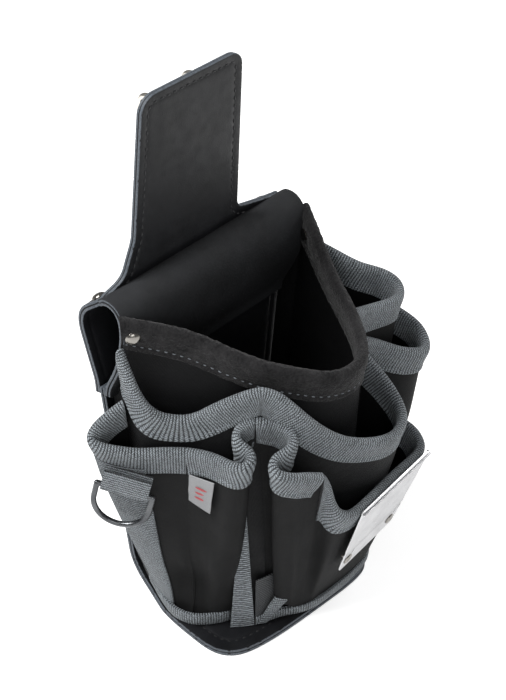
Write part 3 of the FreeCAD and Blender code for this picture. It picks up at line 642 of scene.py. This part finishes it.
def side_panels():
    """Lining that joins each end of the bag's wall to the back panel."""
    v = np.linspace(0.0, 1.0, 70)
    for name, u, inward in (("left", 0.0, 1.0), ("right", 1.0, -1.0)):
        edge = BAG.at(np.full(len(v), u), v)
        height = edge[:, 2]
        depth = np.interp(height, [28, 197, 211, 225, 240, 251, 262],
                          [-0.5, -0.6, -6.5, -12, -15.6, -16.6, -14])
        half = np.interp(height, [28, 197, 198, 262], [64, 84, 85, 85])
        far = np.stack([-inward * np.minimum(np.abs(edge[:, 0]), half), depth, height], axis=1)
        t = np.linspace(0, 1, 9)
        lattice = edge[:, None] * (1 - t)[:, None] + far[:, None] * t[:, None]
        lattice[..., 0] += inward * (0.4 + 1.2 * np.sin(np.pi * t)[None, :])
        swept("bag_side_" + name, lattice, lattice + (inward * 1.4, 0, 0), t * 15.0,
              ("panel", "lining", "panel"), slot="cloth")


POCKETS = [
    ("upper_left", UPPER_LEFT_RIM, UPPER_LEFT_FOOT, 21, 2.0, [], 0.7, "panel"),
    ("upper_right", UPPER_RIGHT_RIM, UPPER_RIGHT_FOOT, 22, 2.0, [], 0.7, "panel"),
    ("side_rear", SIDE_REAR_RIM, SIDE_REAR_FOOT, 23, 2.0, [], 0.7, "cloth"),
    ("side_front", SIDE_FRONT_RIM, SIDE_FRONT_FOOT, 24, 2.5, [], 0.8, "cloth"),
    ("lower_left", LOWER_LEFT_RIM, LOWER_LEFT_FOOT, 25, 2.5,
     [(0.95, 0.80, 0.12, 0.15, -9.0), (0.62, 0.45, 0.14, 0.3, 1.5)], 0.5, "cloth"),
    ("lower_front", LOWER_FRONT_RIM, LOWER_FRONT_FOOT, 26, 2.5,
     [(0.08, 0.8, 0.17, 0.16, -9.0), (0.24, 0.6, 0.1, 0.1, 2.2), (0.4, 0.4, 0.12, 0.3, 2.0)], 0.5, "cloth"),
    ("slim", SLIM_RIM, SLIM_FOOT, 27, 1.0, [(0.84, 0.5, 0.05, 0.4, 2.5)], 0.3, "cloth"),
    ("tape", TAPE_RIM, TAPE_FOOT, 28, 0.0,
     [(0.22, 0.5, 0.05, 0.3, 2.0), (0.55, 0.3, 0.2, 0.5, -1.5)], 0.3, "cloth"),
]
WALLS = {}
ALL_WEBBING = ("webbing",) * 3


def pockets():
    for name, rim, foot, seed, bulge, relief, folds, look in POCKETS:
        wall = Wall(rim, foot, seed, bulge, relief, folds)
        WALLS[name] = wall
        wall.cloth(name + "_cloth", look=look, slot="cloth", nodes=[name + "_pocket"])
        wall.bound(name + "_webbing", WEBBING_FOLD, slot="webbing", nodes=[name + "_binding"])
        points, skin = wall.line(16, 1.35)
        sewn(name + "_stitches", points, skin, 2.5)


def foot_band(name, low, depth, nodes=(), seed=9):
    """Webbing sewn round the foot of the pockets, from the points of its lower edge."""
    line = Spline(low)
    u = line.even(1.5)
    base = line(u)
    along = unit(np.gradient(base, axis=0))
    out = unit(np.stack([along[:, 1], -along[:, 0], np.zeros(len(u))], axis=1))
    rows = np.linspace(0, 1, 12)
    draw = np.random.default_rng(seed)
    sway = 0.35 * np.sin(np.cumsum(draw.normal(0.09, 0.05, len(u))))
    up = np.array((0.0, 0.0, 1.0)) + out * 0.12
    lattice = base[:, None] + up[:, None] * (rows * depth)[None, :, None]
    puff = 1.3 + sway[:, None] + 0.7 * np.sin(np.pi * rows)[None, :] ** 0.7
    face = lattice + out[:, None] * puff[..., None]
    swept(name, face, lattice - out[:, None] * 0.6, rows * depth, ALL_WEBBING, slot="webbing",
          nodes=nodes)
    row = 10
    skin = np.repeat(out[:, None], len(rows), 1)[:, row]
    sewn(name + "_stitches", face[:, row], skin, 2.5, 0.4)


def laid(name, wall, top, low, rows, lift=0.15, thick=1.35, look="webbing", **how):
    """A strap laid on a wall, between stations of the rim at its top and at its foot."""
    (u0, u1), (u2, u3) = top, low
    v = np.linspace(rows[0], rows[1], 90)
    t = np.linspace(0, 1, 19)
    share = (v - v[0]) / (v[-1] - v[0])
    grid_u = (u0 + (u2 - u0) * share)[:, None] * (1 - t) + (u1 + (u3 - u1) * share)[:, None] * t
    grid_v = np.repeat(v[:, None], len(t), 1)
    skin = unit(smoothed(wall.normal(grid_u, grid_v), 4))
    base = wall.at(grid_u, grid_v)
    round_edge = 0.3 * np.sin(np.pi * t) ** 0.4
    front = base + skin * (lift + thick + round_edge[None, :, None])
    wide = np.linalg.norm(base[0, -1] - base[0, 0])
    swept(name, front, base + skin * lift, t * wide, (look,) * 3, **how)
    return front, skin


def hems():
    """Webbing round the foot of the front pockets."""
    foot_band("left_hem_webbing", [(-66.5, -15, 16), (-68, -25, 9), (-70, -33, 6.5), (-71.5, -43, 5),
                                   (-69.5, -55, 5), (-63.5, -63, 5), (-56, -69, 5), (-49, -73, 5)],
              11.0, ["left_hem"])
    foot_band("right_hem_webbing", [(-40, -89, 4.8), (-31, -93, 4.8), (-21, -97, 4.8), (-10, -104, 4.8),
                                    (4, -108.6, 4.8), (28, -110, 4.8), (46, -109, 4.8),
                                    (60, -106, 4.8), (68, -101, 4.8)], 8.0, ["right_hem"], 10)


# ---------------------------------------------------------------- leather
def arc(a, b, c, count):
    """Points on the circle through three flat points, from the first to the last."""
    (ax, ay), (bx, by), (cx, cy) = a, b, c
    d = 2 * (ax * (by - cy) + bx * (cy - ay) + cx * (ay - by))
    ux = ((ax**2 + ay**2) * (by - cy) + (bx**2 + by**2) * (cy - ay) + (cx**2 + cy**2) * (ay - by)) / d
    uy = ((ax**2 + ay**2) * (cx - bx) + (bx**2 + by**2) * (ax - cx) + (cx**2 + cy**2) * (bx - ax)) / d
    radius = math.hypot(ax - ux, ay - uy)
    angles = np.unwrap([math.atan2(y - uy, x - ux) for x, y in (a, b, c)])
    turn = np.linspace(angles[0], angles[2], count)
    return [(ux + radius * math.cos(t), uy + radius * math.sin(t)) for t in turn]


def rounded(corners, step=1.5):
    """A closed outline with each corner rounded, as evenly spaced points."""
    points = []
    count = len(corners)
    for i, (x, y, radius) in enumerate(corners):
        here = np.array([x, y], float)
        if radius == 0:
            points.append(here)
            continue
        back = unit(np.array(corners[i - 1][:2], float) - here)
        ahead = unit(np.array(corners[(i + 1) % count][:2], float) - here)
        half = math.acos(np.clip(back @ ahead, -1, 1)) / 2
        reach = radius / math.tan(half)
        centre = here + unit(back + ahead) * radius / math.sin(half)
        middle = centre + unit(here - centre) * radius
        points += [np.array(p) for p in arc(here + back * reach, middle, here + ahead * reach, 9)]
    return spaced(np.array(points), step)


def spaced(points, step):
    """A closed outline at an even step."""
    points = np.asarray(points, float)
    closed = np.concatenate([points, points[:1]])
    run = run_of(closed)
    where = np.linspace(0, run[-1], int(run[-1] / step) + 1)[:-1]
    return np.stack([np.interp(where, run, closed[:, a]) for a in range(2)], axis=1)


def from_border(points, outline):
    """Distance of flat points from a closed outline."""
    a = outline
    b = np.roll(outline, -1, axis=0)
    best = np.full(len(points), 1e9)
    for start, end in zip(a, b):
        d = end - start
        t = np.clip(((points - start) @ d) / max(d @ d, 1e-9), 0, 1)
        best = np.minimum(best, np.linalg.norm(points - start - t[:, None] * d, axis=1))
    return best


def inside(points, outline):
    x, y = points[:, 0], points[:, 1]
    hit = np.zeros(len(points), bool)
    for (x0, y0), (x1, y1) in zip(outline, np.roll(outline, -1, axis=0)):
        crosses = (y0 > y) != (y1 > y)
        with np.errstate(divide="ignore", invalid="ignore"):
            at = (x1 - x0) * (y - y0) / (y1 - y0) + x0
        hit ^= crosses & (x < at)
    return hit


def square_in(lines, outline):
    """Directions square to an outline's own, pointing inside it."""
    inward = np.stack([-lines[:, 1], lines[:, 0]], axis=1)
    after = np.roll(outline, -1, axis=0)
    anticlockwise = np.sum(outline[:, 0] * after[:, 1] - after[:, 0] * outline[:, 1]) >= 0
    return inward if anticlockwise else -inward


def ply(name, outline, place, near, far, looks=("leather", "leather_flesh", "edge"), grooves=(),
        spacing=2.6, crown=0.45, **how):
    """One ply of leather cut to an outline, laid on a surface by place(u, v, depth)."""
    low, high = outline.min(axis=0), outline.max(axis=0)
    gx, gy = np.meshgrid(np.arange(low[0], high[0], spacing), np.arange(low[1], high[1], spacing))
    gx = gx + (np.arange(gx.shape[0]) % 2)[:, None] * spacing / 2
    cloud = np.stack([gx.ravel(), gy.ravel()], axis=1)
    lines = unit(np.roll(outline, -1, axis=0) - np.roll(outline, 1, axis=0))
    inward = square_in(lines, outline)
    beside = [g + s for g in grooves for s in (-0.9, 0, 0.9)]
    rings = [outline + inward * d for d in (crown * 0.35, crown, *beside)]
    cloud = np.concatenate([cloud] + rings)
    cloud = cloud[inside(cloud, outline)]
    gap = from_border(cloud, outline)
    keep = gap > crown * 0.25
    for g in grooves:
        ring = np.abs(gap - g)
        keep &= ~((ring > 1.1) & (ring < 1.9))
    cloud = cloud[keep]
    every = np.concatenate([outline, cloud])
    count = len(outline)
    found = delaunay_2d_cdt([Vector(p) for p in every], [], [list(range(count))], 1, 1e-4)
    flat = np.array([(p.x, p.y) for p in found[0]])
    faces = np.array([f for f in found[2] if len(f) == 3])
    border_of = {}
    for a, b, c in faces:
        for edge in ((a, b), (b, c), (c, a)):
            key = (min(edge), max(edge))
            border_of[key] = edge if key not in border_of else None
    rim = [edge for edge in border_of.values() if edge is not None]
    gap = from_border(flat, outline)
    round_off = np.clip(1 - gap / crown, 0, 1)
    back_sink = crown * (1 - np.sqrt(np.clip(1 - round_off ** 2, 0, 1)))
    sink = back_sink
    for g in grooves:
        sink = sink + 0.42 * np.exp(-((gap - g) / 0.85) ** 2)
    total = len(flat)
    front = place(flat[:, 0], flat[:, 1], near + sink * np.sign(far - near))
    back = place(flat[:, 0], flat[:, 1], far - back_sink * np.sign(far - near))
    points = np.concatenate([front, back])
    every_face = [tuple(f) for f in faces] + [tuple(f[::-1] + total) for f in faces]
    sides = [(b, a, a + total, b + total) for a, b in rim]
    index = [0] * len(faces) + [1] * len(faces) + [2] * len(sides)
    border = gap[faces].max(axis=1) < crown * 1.05
    index[:len(faces)] = [2 if rimmed else 0 for rimmed in border]
    uvs = np.concatenate([flat, flat])
    return make(name, points, every_face + sides, looks, index, uvs, **how)


def inset(outline, distance):
    """The outline moved inwards, for a stitch line."""
    lines = unit(smoothed(np.roll(outline, -1, axis=0) - np.roll(outline, 1, axis=0), 2))
    inward = square_in(lines, outline)
    moved = outline + inward * distance
    return moved[from_border(moved, outline) > distance * 0.93]


def opened(line, widest):
    """A line restarted after its longest step, if that is over the widest allowed."""
    steps = np.linalg.norm(np.diff(line, axis=0), axis=1)
    cut = int(np.argmax(steps)) + 1 if steps.max() > widest else 0
    return np.concatenate([line[cut:], line[:cut]])


def surface_stitches(name, line, place, depth, outward, look="black_thread", **how):
    """Stitches along a flat line, laid on the same surface as the leather."""
    u, v = line[:, 0], line[:, 1]
    points = place(u, v, np.full(len(u), depth))
    above = place(u, v, np.full(len(u), depth + outward))
    return stitches(name, points, unit(above - points), look, **how)


class Bent:
    """A sheet bent along a path in the side plane: u is sideways, v runs along the path."""

    def __init__(self, path, side):
        self.path = Spline([(0.0, y, z) for y, z in path])
        t = np.linspace(0, 1, 900)
        self.dense = self.path(t)
        self.run = run_of(self.dense)
        along = unit(np.gradient(self.dense, axis=0))
        self.normal = np.stack([np.zeros(len(t)), along[:, 2], -along[:, 1]], axis=1) * side
        self.length = self.run[-1]

    def __call__(self, u, v, depth):
        y = np.interp(v, self.run, self.dense[:, 1])
        z = np.interp(v, self.run, self.dense[:, 2])
        ny = np.interp(v, self.run, self.normal[:, 1])
        nz = np.interp(v, self.run, self.normal[:, 2])
        return np.stack([np.asarray(u, float), y + ny * depth, z + nz * depth], axis=1)


def base_and_back():
    """Two plies from the base's front edge, round the bend and up to the tunnel."""
    bend, flat_end, top = 38.0, -33.6, 197.0
    flat = [(y, 0.0) for y in (-120, -115, -100, -80, -60, -45, -38)]
    turn = [(flat_end + bend * math.sin(a), bend - bend * math.cos(a)) for a in np.linspace(0.06, 1.5, 9)]
    up = [(4.4, z) for z in (44, 60, 90, 120, 150, 175, top, top + 4)]
    place = Bent(flat + turn + up, -1)
    corners = [(31, 9), (12, 10), (-12, 11.5), (-37, 14), (-55, 17.5), (-64, 21), (-70, 25.5),
               (-74.3, 32), (-76.5, 42), (-76.2, 56), (-75, 71), (-72, 90), (-68, 108), (-69, 141),
               (-87.5, 304), (87.5, 304), (69, 141), (66.5, 113), (71, 92), (73, 62), (72, 40),
               (68, 24), (61, 14), (50, 9.8)]
    curve = Spline([(x, s, 0.0) for x, s in corners[:14]])(np.linspace(0, 1, 120))[:, :2]
    rest = Spline([(x, s, 0.0) for x, s in corners[16:] + corners[:1]])(np.linspace(0, 1, 100))[:, :2]
    corners = [*curve, *corners[14:16], *rest[:-1]]
    outline = spaced(np.array(corners), 2.0)
    ply("base_back_lower_ply", outline, place, LEATHER, 0.0, ("leather_flesh", "leather", "edge"),
        slot="leather", nodes=["back_base_outer_ply"])
    ply("base_back_upper_ply", outline * (0.994, 1.0) + (0, 0.5), place, 2 * LEATHER, LEATHER + 0.05,
        grooves=(10.0,), slot="leather", nodes=["back_base_inner_ply"])
    line = inset(outline, 10.0)
    middle = line[:, 1] < 92
    line = line[middle]
    order = np.argsort(-np.arctan2(line[:, 1] - 60, line[:, 0]))
    split = line[order]
    split = opened(split, 12)
    surface_stitches("base_stitches", split, place, 2 * LEATHER - 0.35, 1.0, pitch=5.5, long=3.4,
                     wide=0.9, high=0.35, slot="leather")
    # Dark discs in the shadowed_hole look are painted shade inside the stitch holes.
    surface_stitches("base_holes", split, place, 2 * LEATHER - 0.05, 1.0, "hole", pitch=5.5, long=1.7,
                     wide=1.5, high=0.08, slot="leather")


def tunnel():
    """The roll in front of the belt tunnel, and a liner ply behind it."""
    path = [(-1.3, 262.6), (-3.0, 264.6), (-7.0, 265.6), (-11.5, 264.6), (-15.6, 260.0), (-17.2, 251.0),
            (-16.2, 240), (-12.8, 225), (-7.2, 211), (-1.2, 198), (-0.4, 190)]
    place = Bent(path, -1)
    long = place.length
    outline = rounded([(-87, 0, 1), (87, 0, 1), (87, long, 1), (-87, long, 1)], 2.4)
    ply("tunnel_roll_ply", outline, place, 0.0, -LEATHER, grooves=(6.0,), slot="leather",
        nodes=["tunnel_roll"])
    ply("tunnel_liner_ply", outline * (0.993, 1.0), place, -LEATHER - 0.1, -2 * LEATHER, slot="leather",
        looks=("leather_flesh", "leather_flesh", "edge"))
    for side, name in ((-1, "left"), (1, "right")):
        v = np.arange(8, long - 4, 1.5)
        line = np.stack([np.full(len(v), side * 81.0), v], axis=1)
        surface_stitches("tunnel_stitches_" + name, line, place, -0.25, 1.0, pitch=5.2, long=3.3,
                         slot="leather")


HINGE = np.array([0.0, -0.8, 263.6])
LEAN = math.radians(3.6)


def tongue():
    """Tongue of two plies that carry on down behind the tunnel, laid along one path over the bend."""
    rear = [(4.4, 188.0), (5.0, 199.0), (8.8, 212.0), (13.2, 226.0), (16.4, 237.0), (16.6, 244.5),
            (13.8, 250.8), (8.6, 255.6), (3.6, 259.2), (0.6, 262.6), (-0.6, 266.5)]
    up = [(HINGE[1] - math.sin(LEAN) * s, HINGE[2] + math.cos(LEAN) * s)
          for s in (8, 16, 26, 38, 54, 74, 94, 115, 137)]
    place = Bent(rear + up, 1)
    seam = float(np.interp(HINGE[2] + 0.2, place.dense[:, 2], place.run))
    rise = 135.0
    corners = [(-87, 1.5, 1), (-86.5, seam - 14, 6), (-81, seam + 2.5, 4), (-65, seam + 9, 14),
               (-56, seam + 34, 24), (-51, seam + rise, 12), (37, seam + rise - 1, 11),
               (39, seam + 13, 8), (67, seam + 6, 18), (84, seam + 2.5, 3), (86.5, seam - 14, 6),
               (87, 1.5, 1)]
    outline = rounded(corners, 1.6)
    front = ply("tongue_front_leather", outline, place, 0.0, LEATHER - 0.05, grooves=(6.0,), body=None,
                slot="leather", nodes=["tongue_front_ply"])
    back = ply("tongue_rear_leather", outline + (0.0, -0.6), place, 2 * LEATHER, LEATHER + 0.05,
               grooves=(6.0,), body=None, slot="leather", nodes=["tongue_rear_ply", "tunnel_rear_wall"])
    line = inset(outline, 6.0)
    made = [front, back]
    for name, depth, outward in (("front", 0.25, -1.0), ("rear", 2 * LEATHER - 0.25, 1.0)):
        part = line if outward > 0 else line[line[:, 1] > seam]
        part = opened(part, 6)
        made.append(surface_stitches("tongue_stitches_" + name, part, place, depth, outward,
                                     pitch=5.6, long=3.7, slot="leather", body=None))
    for piece in made:
        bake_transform(piece)
    return place, seam


def lathe(name, profile, at, facing, look, steps=40, **how):
    """A round fitting from its (radius, height) profile."""
    facing = unit(np.array(facing, float))
    side = unit(np.cross(facing, (0.3, 0.2, 1.0)))
    other = np.cross(facing, side)
    points, faces = [], []
    for i, (radius, height) in enumerate(profile):
        for k in range(steps):
            a = 2 * math.pi * k / steps
            points.append(np.array(at, float) + facing * height
                          + (side * math.cos(a) + other * math.sin(a)) * radius)
    for i in range(len(profile) - 1):
        for k in range(steps):
            n = (k + 1) % steps
            faces.append((i * steps + k, i * steps + n, (i + 1) * steps + n, (i + 1) * steps + k))
    faces.append(tuple(range(steps)))
    faces.append(tuple(range((len(profile) - 1) * steps, len(profile) * steps)))
    return make(name, points, faces, (look,), sharp=55, **how)


DOME = [(1.75, -5.5), (1.75, -0.3), (4.7, -0.3), (5.0, 0.0), (5.05, 0.35), (4.85, 0.75), (4.3, 1.35),
        (3.5, 1.9), (2.4, 2.35), (1.2, 2.58), (0.25, 2.62)]
HOLLOW_RIVET = [(1.7, -4.0), (1.7, 0.0), (4.1, 0.0), (4.3, 0.25), (4.2, 0.6), (3.6, 1.0),
                (2.3, 1.25), (1.9, 1.2), (1.6, 0.9), (0.2, 0.85)]
BURR = [(2.0, -1.2), (4.0, -1.2), (4.2, -0.9), (4.1, -0.4), (3.0, -0.1), (2.2, -0.1)]


def rivets(tongue_place, seam):
    for side, u in (("left", 0.035), ("right", 0.965)):
        u = np.array([u])
        v = np.array([11.0 / 230])
        skin = BAG.normal(u, v)[0]
        at = BAG.at(u, v)[0] + skin * 2.5
        lathe("collar_cap_" + side, DOME, at, skin, "rivet", slot="bright_steel",
              nodes=["collar_rivet_caps"])
        lathe("collar_burr_" + side, BURR, at - skin * 8.6, -skin, "rivet", slot="bright_steel",
              nodes=["collar_rivet_burrs"])
    for side, x in (("left", -76.0), ("right", 76.0)):
        v = seam - 13.0
        at = tongue_place(np.array([x]), np.array([v]), np.array([2 * LEATHER - 0.1]))[0]
        above = tongue_place(np.array([x]), np.array([v]), np.array([2 * LEATHER + 1.0]))[0]
        facing = unit(above - at)
        lathe("shoulder_cap_" + side, DOME, at, facing, "rivet", slot="bright_steel",
              nodes=["shoulder_rivet_caps"])
        lathe("shoulder_burr_" + side, BURR, at - facing * 4.2, -facing, "rivet", slot="bright_steel",
              nodes=["shoulder_rivet_burrs"])


# ---------------------------------------------------------------- plate, ring, straps, label
def placed(at, *turns):
    matrix = Matrix.Translation(Vector(at))
    for axis, degrees in turns:
        matrix = matrix @ Matrix.Rotation(math.radians(degrees), 4, axis)
    matrix = np.array(matrix)
    return lambda points: np.asarray(points, float) @ matrix[:3, :3].T + matrix[:3, 3]


def steel_plate():
    """Bright plate with a curled top edge, a pressed line and two rivets."""
    put = placed((6.3, -143.3, 112.8), ("Z", 5), ("X", 15.5))
    lip = 1.25
    curl = [(lip * (math.cos(a) - 1), lip * math.sin(a) - 0.6) for a in np.linspace(-2.6, 0.0, 9)]
    down = [(0.0, z) for z in (-3, -12, -30, -46, -49.2)] + [(0.45, -50.2), (0.0, -51.2)]
    down += [(0.0, z) for z in (-54, -60, -68)]
    path = Bent(curl + down, 1)
    span = path.length

    def place(u, v, depth):
        return put(path(u, v, depth))

    outline = rounded([(0, 0.0, 0.6), (0.4, 6.0, 3), (0, span, 4), (66, span, 4), (82, 6.0, 3),
                       (81.6, 0, 0.6)], 1.3)
    ply("steel_plate_sheet", outline, place, 0.0, 1.0, ("steel", "steel", "steel"), spacing=2.4,
        crown=0.3, slot="bright_steel", nodes=["steel_plate"])
    for side, x in (("left", 7.5), ("right", 58.5)):
        at = put([(x, -1.0, -58.5)])[0]
        facing = put([(x, -2.0, -58.5)])[0] - at
        lathe("plate_rivet_" + side, HOLLOW_RIVET,
              at, facing, "rivet", slot="bright_steel", nodes=["plate_rivets"])
        line = put([(x + 2.2, -1.0, -54.8), (x + 6.2, -1.0, -51.8)])
        skin = np.repeat(unit(facing)[None], 2, 0)
        # A dark capsule paints the shade in the plate's slot beside each rivet.
        stitches("plate_slot_" + side, line, skin, "hole", 9.0, 4.4, 1.9, 0.14, slot="bright_steel")


def strap(name, rim, foot, look="webbing", thick=1.3, width_rows=11, step=1.5, seed=1,
          wave=0.4, gap=0.2, **how):
    """A flat strap between two end lines, given by their left and right points."""
    (a, b), (c, d) = np.array(rim, float), np.array(foot, float)
    long = np.linalg.norm((c + d) / 2 - (a + b) / 2)
    s = np.linspace(0, 1, max(int(long / step), 6))
    t = np.linspace(0, 1, width_rows)
    left = a + (c - a) * s[:, None]
    right = b + (d - b) * s[:, None]
    base = left[:, None] + (right - left)[:, None] * t[None, :, None]
    skin = unit(np.cross(c - a, b - a))
    if skin @ np.array((-1.0, -1.0, 0.0)) < 0:
        skin = -skin
    draw = np.random.default_rng(seed)
    phase = draw.uniform(0, 6.28, 3)
    swell = wave * np.sin(7 * s + phase[0]) + wave * 0.5 * np.sin(15 * s + phase[1])
    edge = 0.25 * np.sin(np.pi * t) ** 0.5
    front = base + skin * (gap + thick + swell[:, None] + edge[None, :])[..., None]
    back = base + skin * (gap + swell[:, None, None])
    across = t * np.linalg.norm(b - a)
    swept(name, front, back, across, (look,) * 3, **how)
    return front, skin


def ring_parts():
    """Webbing round the D-ring's bar and the strap below it."""
    put = placed((-101.5, -30.0, 136.0), ("Z", -57), ("Y", 13))
    wire = 2.35
    path = [(-wire, 15), (-wire - 0.2, 9), (-wire - 0.1, 3)]
    path += [(wire * math.cos(a), wire * math.sin(a)) for a in np.linspace(math.pi, 2 * math.pi, 9)]
    path += [(wire + 0.1, 3), (wire, 9), (wire, 15)]
    fold = Bent(path, 1)
    v = np.linspace(0, fold.length, 46)
    u = np.linspace(-16.0, 16.0, 22)
    grid_v, grid_u = np.meshgrid(v, u, indexing="ij")
    near = put(fold(grid_u.ravel(), grid_v.ravel(), 0.0)).reshape(46, 22, 3)
    far = put(fold(grid_u.ravel(), grid_v.ravel(), 1.4)).reshape(46, 22, 3)
    swept("ring_fold", far, near, u + 16, ALL_WEBBING, slot="webbing", nodes=["ring_loop"])
    wall = WALLS["lower_left"]
    front, skin = laid("ring_strap_band", wall, (0.36, 0.74), (0.5, 0.82), (0.09, 0.97), slot="webbing",
                       nodes=["ring_strap"])
    for side, column in (("left", 1), ("right", -2)):
        sewn("ring_strap_stitches_" + side, front[:, column], skin[:, column])


def corner_and_label():
    front, skin = strap("corner_band", [(-48.6, -85.6, 130), (-47.2, -87.4, 130)],
                              [(-53, -78, 5), (-40, -89, 5)], width_rows=12, seed=5, wave=0.25,
                              slot="webbing", nodes=["corner_strip"])
    strap("corner_backing", [(-46, -86.5, 190), (-36.5, -92.5, 190)],
          [(-47, -78, 6), (-30, -90, 6)], look="panel", thick=1.0, width_rows=12, seed=12, wave=0.1,
          slot="cloth")
    sewn("corner_band_stitches", front[:, 1], np.repeat(skin[None], len(front), 0))
    strap("gusset_netting", [(-41, -91, 50), (-19, -97, 50)], [(-40, -89, 7), (-28, -93, 7)],
          look="mesh", thick=0.8, width_rows=14, seed=6, wave=0.2, slot="mesh", nodes=["gusset_mesh"])
    strap("slim_foot_webbing", [(-29, -98, 31), (-20, -102.5, 26)], [(-38.5, -90.5, 7), (-33, -93.5, 6)],
          thick=1.4, width_rows=10, seed=8, wave=0.2, gap=0.5, slot="webbing")
    front, skin = strap("label_cloth_tag", [(-69.6, -60, 149), (-65, -78, 149)],
                              [(-67.4, -57, 124), (-65.6, -74.5, 121)], look="label", thick=0.7,
                              width_rows=14, seed=7, wave=0.25, gap=2.6, slot="label",
                              nodes=["label_tag"])
    rows, columns = front.shape[:2]
    centre = front[int(rows * 0.52), columns // 2]
    along = unit(front[-1, columns // 2] - front[0, columns // 2])
    side = np.cross(skin, along)
    for number, offset in enumerate((-4.6, 0.0, 4.6)):
        line = np.array([centre + along * offset - side * 4.2, centre + along * offset + side * 4.2])
        stitches("label_bar_%d" % number, line, np.repeat(skin[None], 2, 0), "mark", 20.0, 9.5, 2.2,
                 0.18, slot="label")


def paint(node, look):
    """A better material on a CAD node that stays."""
    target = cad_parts[node]
    if not target.material_slots:
        target.data.materials.append(LOOKS[look])
    for place in target.material_slots:
        place.material = LOOKS[look]


bag()
side_panels()
pockets()
hems()
base_and_back()
tunnel()
TONGUE_PLACE, SEAM = tongue()
rivets(TONGUE_PLACE, SEAM)
steel_plate()
ring_parts()
corner_and_label()
for cad_node, cad_look in (("clip_legs", "nickel"), ("clip_loop", "nickel"), ("clip_keeper", "steel"),
                           ("clip_rivets", "rivet"), ("d_ring", "dark_steel"),
                           ("side_rear_floor", "lining"), ("side_front_floor", "lining")):
    paint(cad_node, cad_look)


# ---------------------------------------------------------------- studio
def studio():
    mesh = bpy.data.meshes.new("studio_floor")
    side = 6.0
    mesh.from_pydata([(-side, -side, 0), (side, -side, 0), (side, side, 0), (-side, side, 0)], [],
                     [(0, 1, 2, 3)])
    floor = bpy.data.objects.new("studio_floor", mesh)
    bpy.context.scene.collection.objects.link(floor)
    floor.location.z = -0.0002
    s = Shader("studio_white")
    mesh.materials.append(s.finish(Base_Color=(0.75, 0.75, 0.75, 1.0), Roughness=0.9,
                                   Specular_IOR_Level=0.1, Emission_Color=(1.0, 1.0, 1.0, 1.0),
                                   Emission_Strength=0.55))
    world = bpy.data.worlds.new("studio_world")
    bpy.context.scene.world = world
    world.use_nodes = True
    sky = world.node_tree.nodes["Background"]
    sky.inputs[0].default_value = (1.0, 1.0, 1.0, 1.0)
    sky.inputs[1].default_value = 0.26
    aim = Vector((0.0, 0.015, 0.2))
    for name, at, size, power in (("key", (-0.8, 0.45, 1.5), 0.8, 38.0),
                                  ("fill", (-1.1, -1.2, 1.1), 0.9, 10.0),
                                  ("rim", (1.3, -0.3, 1.2), 0.8, 12.0)):
        light = bpy.data.lights.new(name, "AREA")
        light.size = size
        light.energy = power
        lamp = bpy.data.objects.new(name, light)
        lamp.location = at
        lamp.rotation_euler = (aim - Vector(at)).to_track_quat("-Z", "Y").to_euler()
        bpy.context.scene.collection.objects.link(lamp)


def camera():
    data = bpy.data.cameras.new("photo_camera")
    data.lens = 92.57
    data.sensor_width = 36.0
    data.clip_start, data.clip_end = 0.05, 50.0
    eye = bpy.data.objects.new("photo_camera", data)
    bpy.context.scene.collection.objects.link(eye)
    azimuth, elevation, distance = math.radians(-47.64), math.radians(37.7), 1.20573
    target = Vector(metres((12.18, -40.0, 192.42)))
    back = Vector((math.sin(azimuth) * math.cos(elevation), -math.cos(azimuth) * math.cos(elevation),
                   math.sin(elevation)))
    eye.location = target + back * distance
    eye.rotation_euler = (-back).to_track_quat("-Z", "Y").to_euler()
    bpy.context.scene.camera = eye


studio()
camera()
bpy.context.scene.view_settings.view_transform = "Standard"
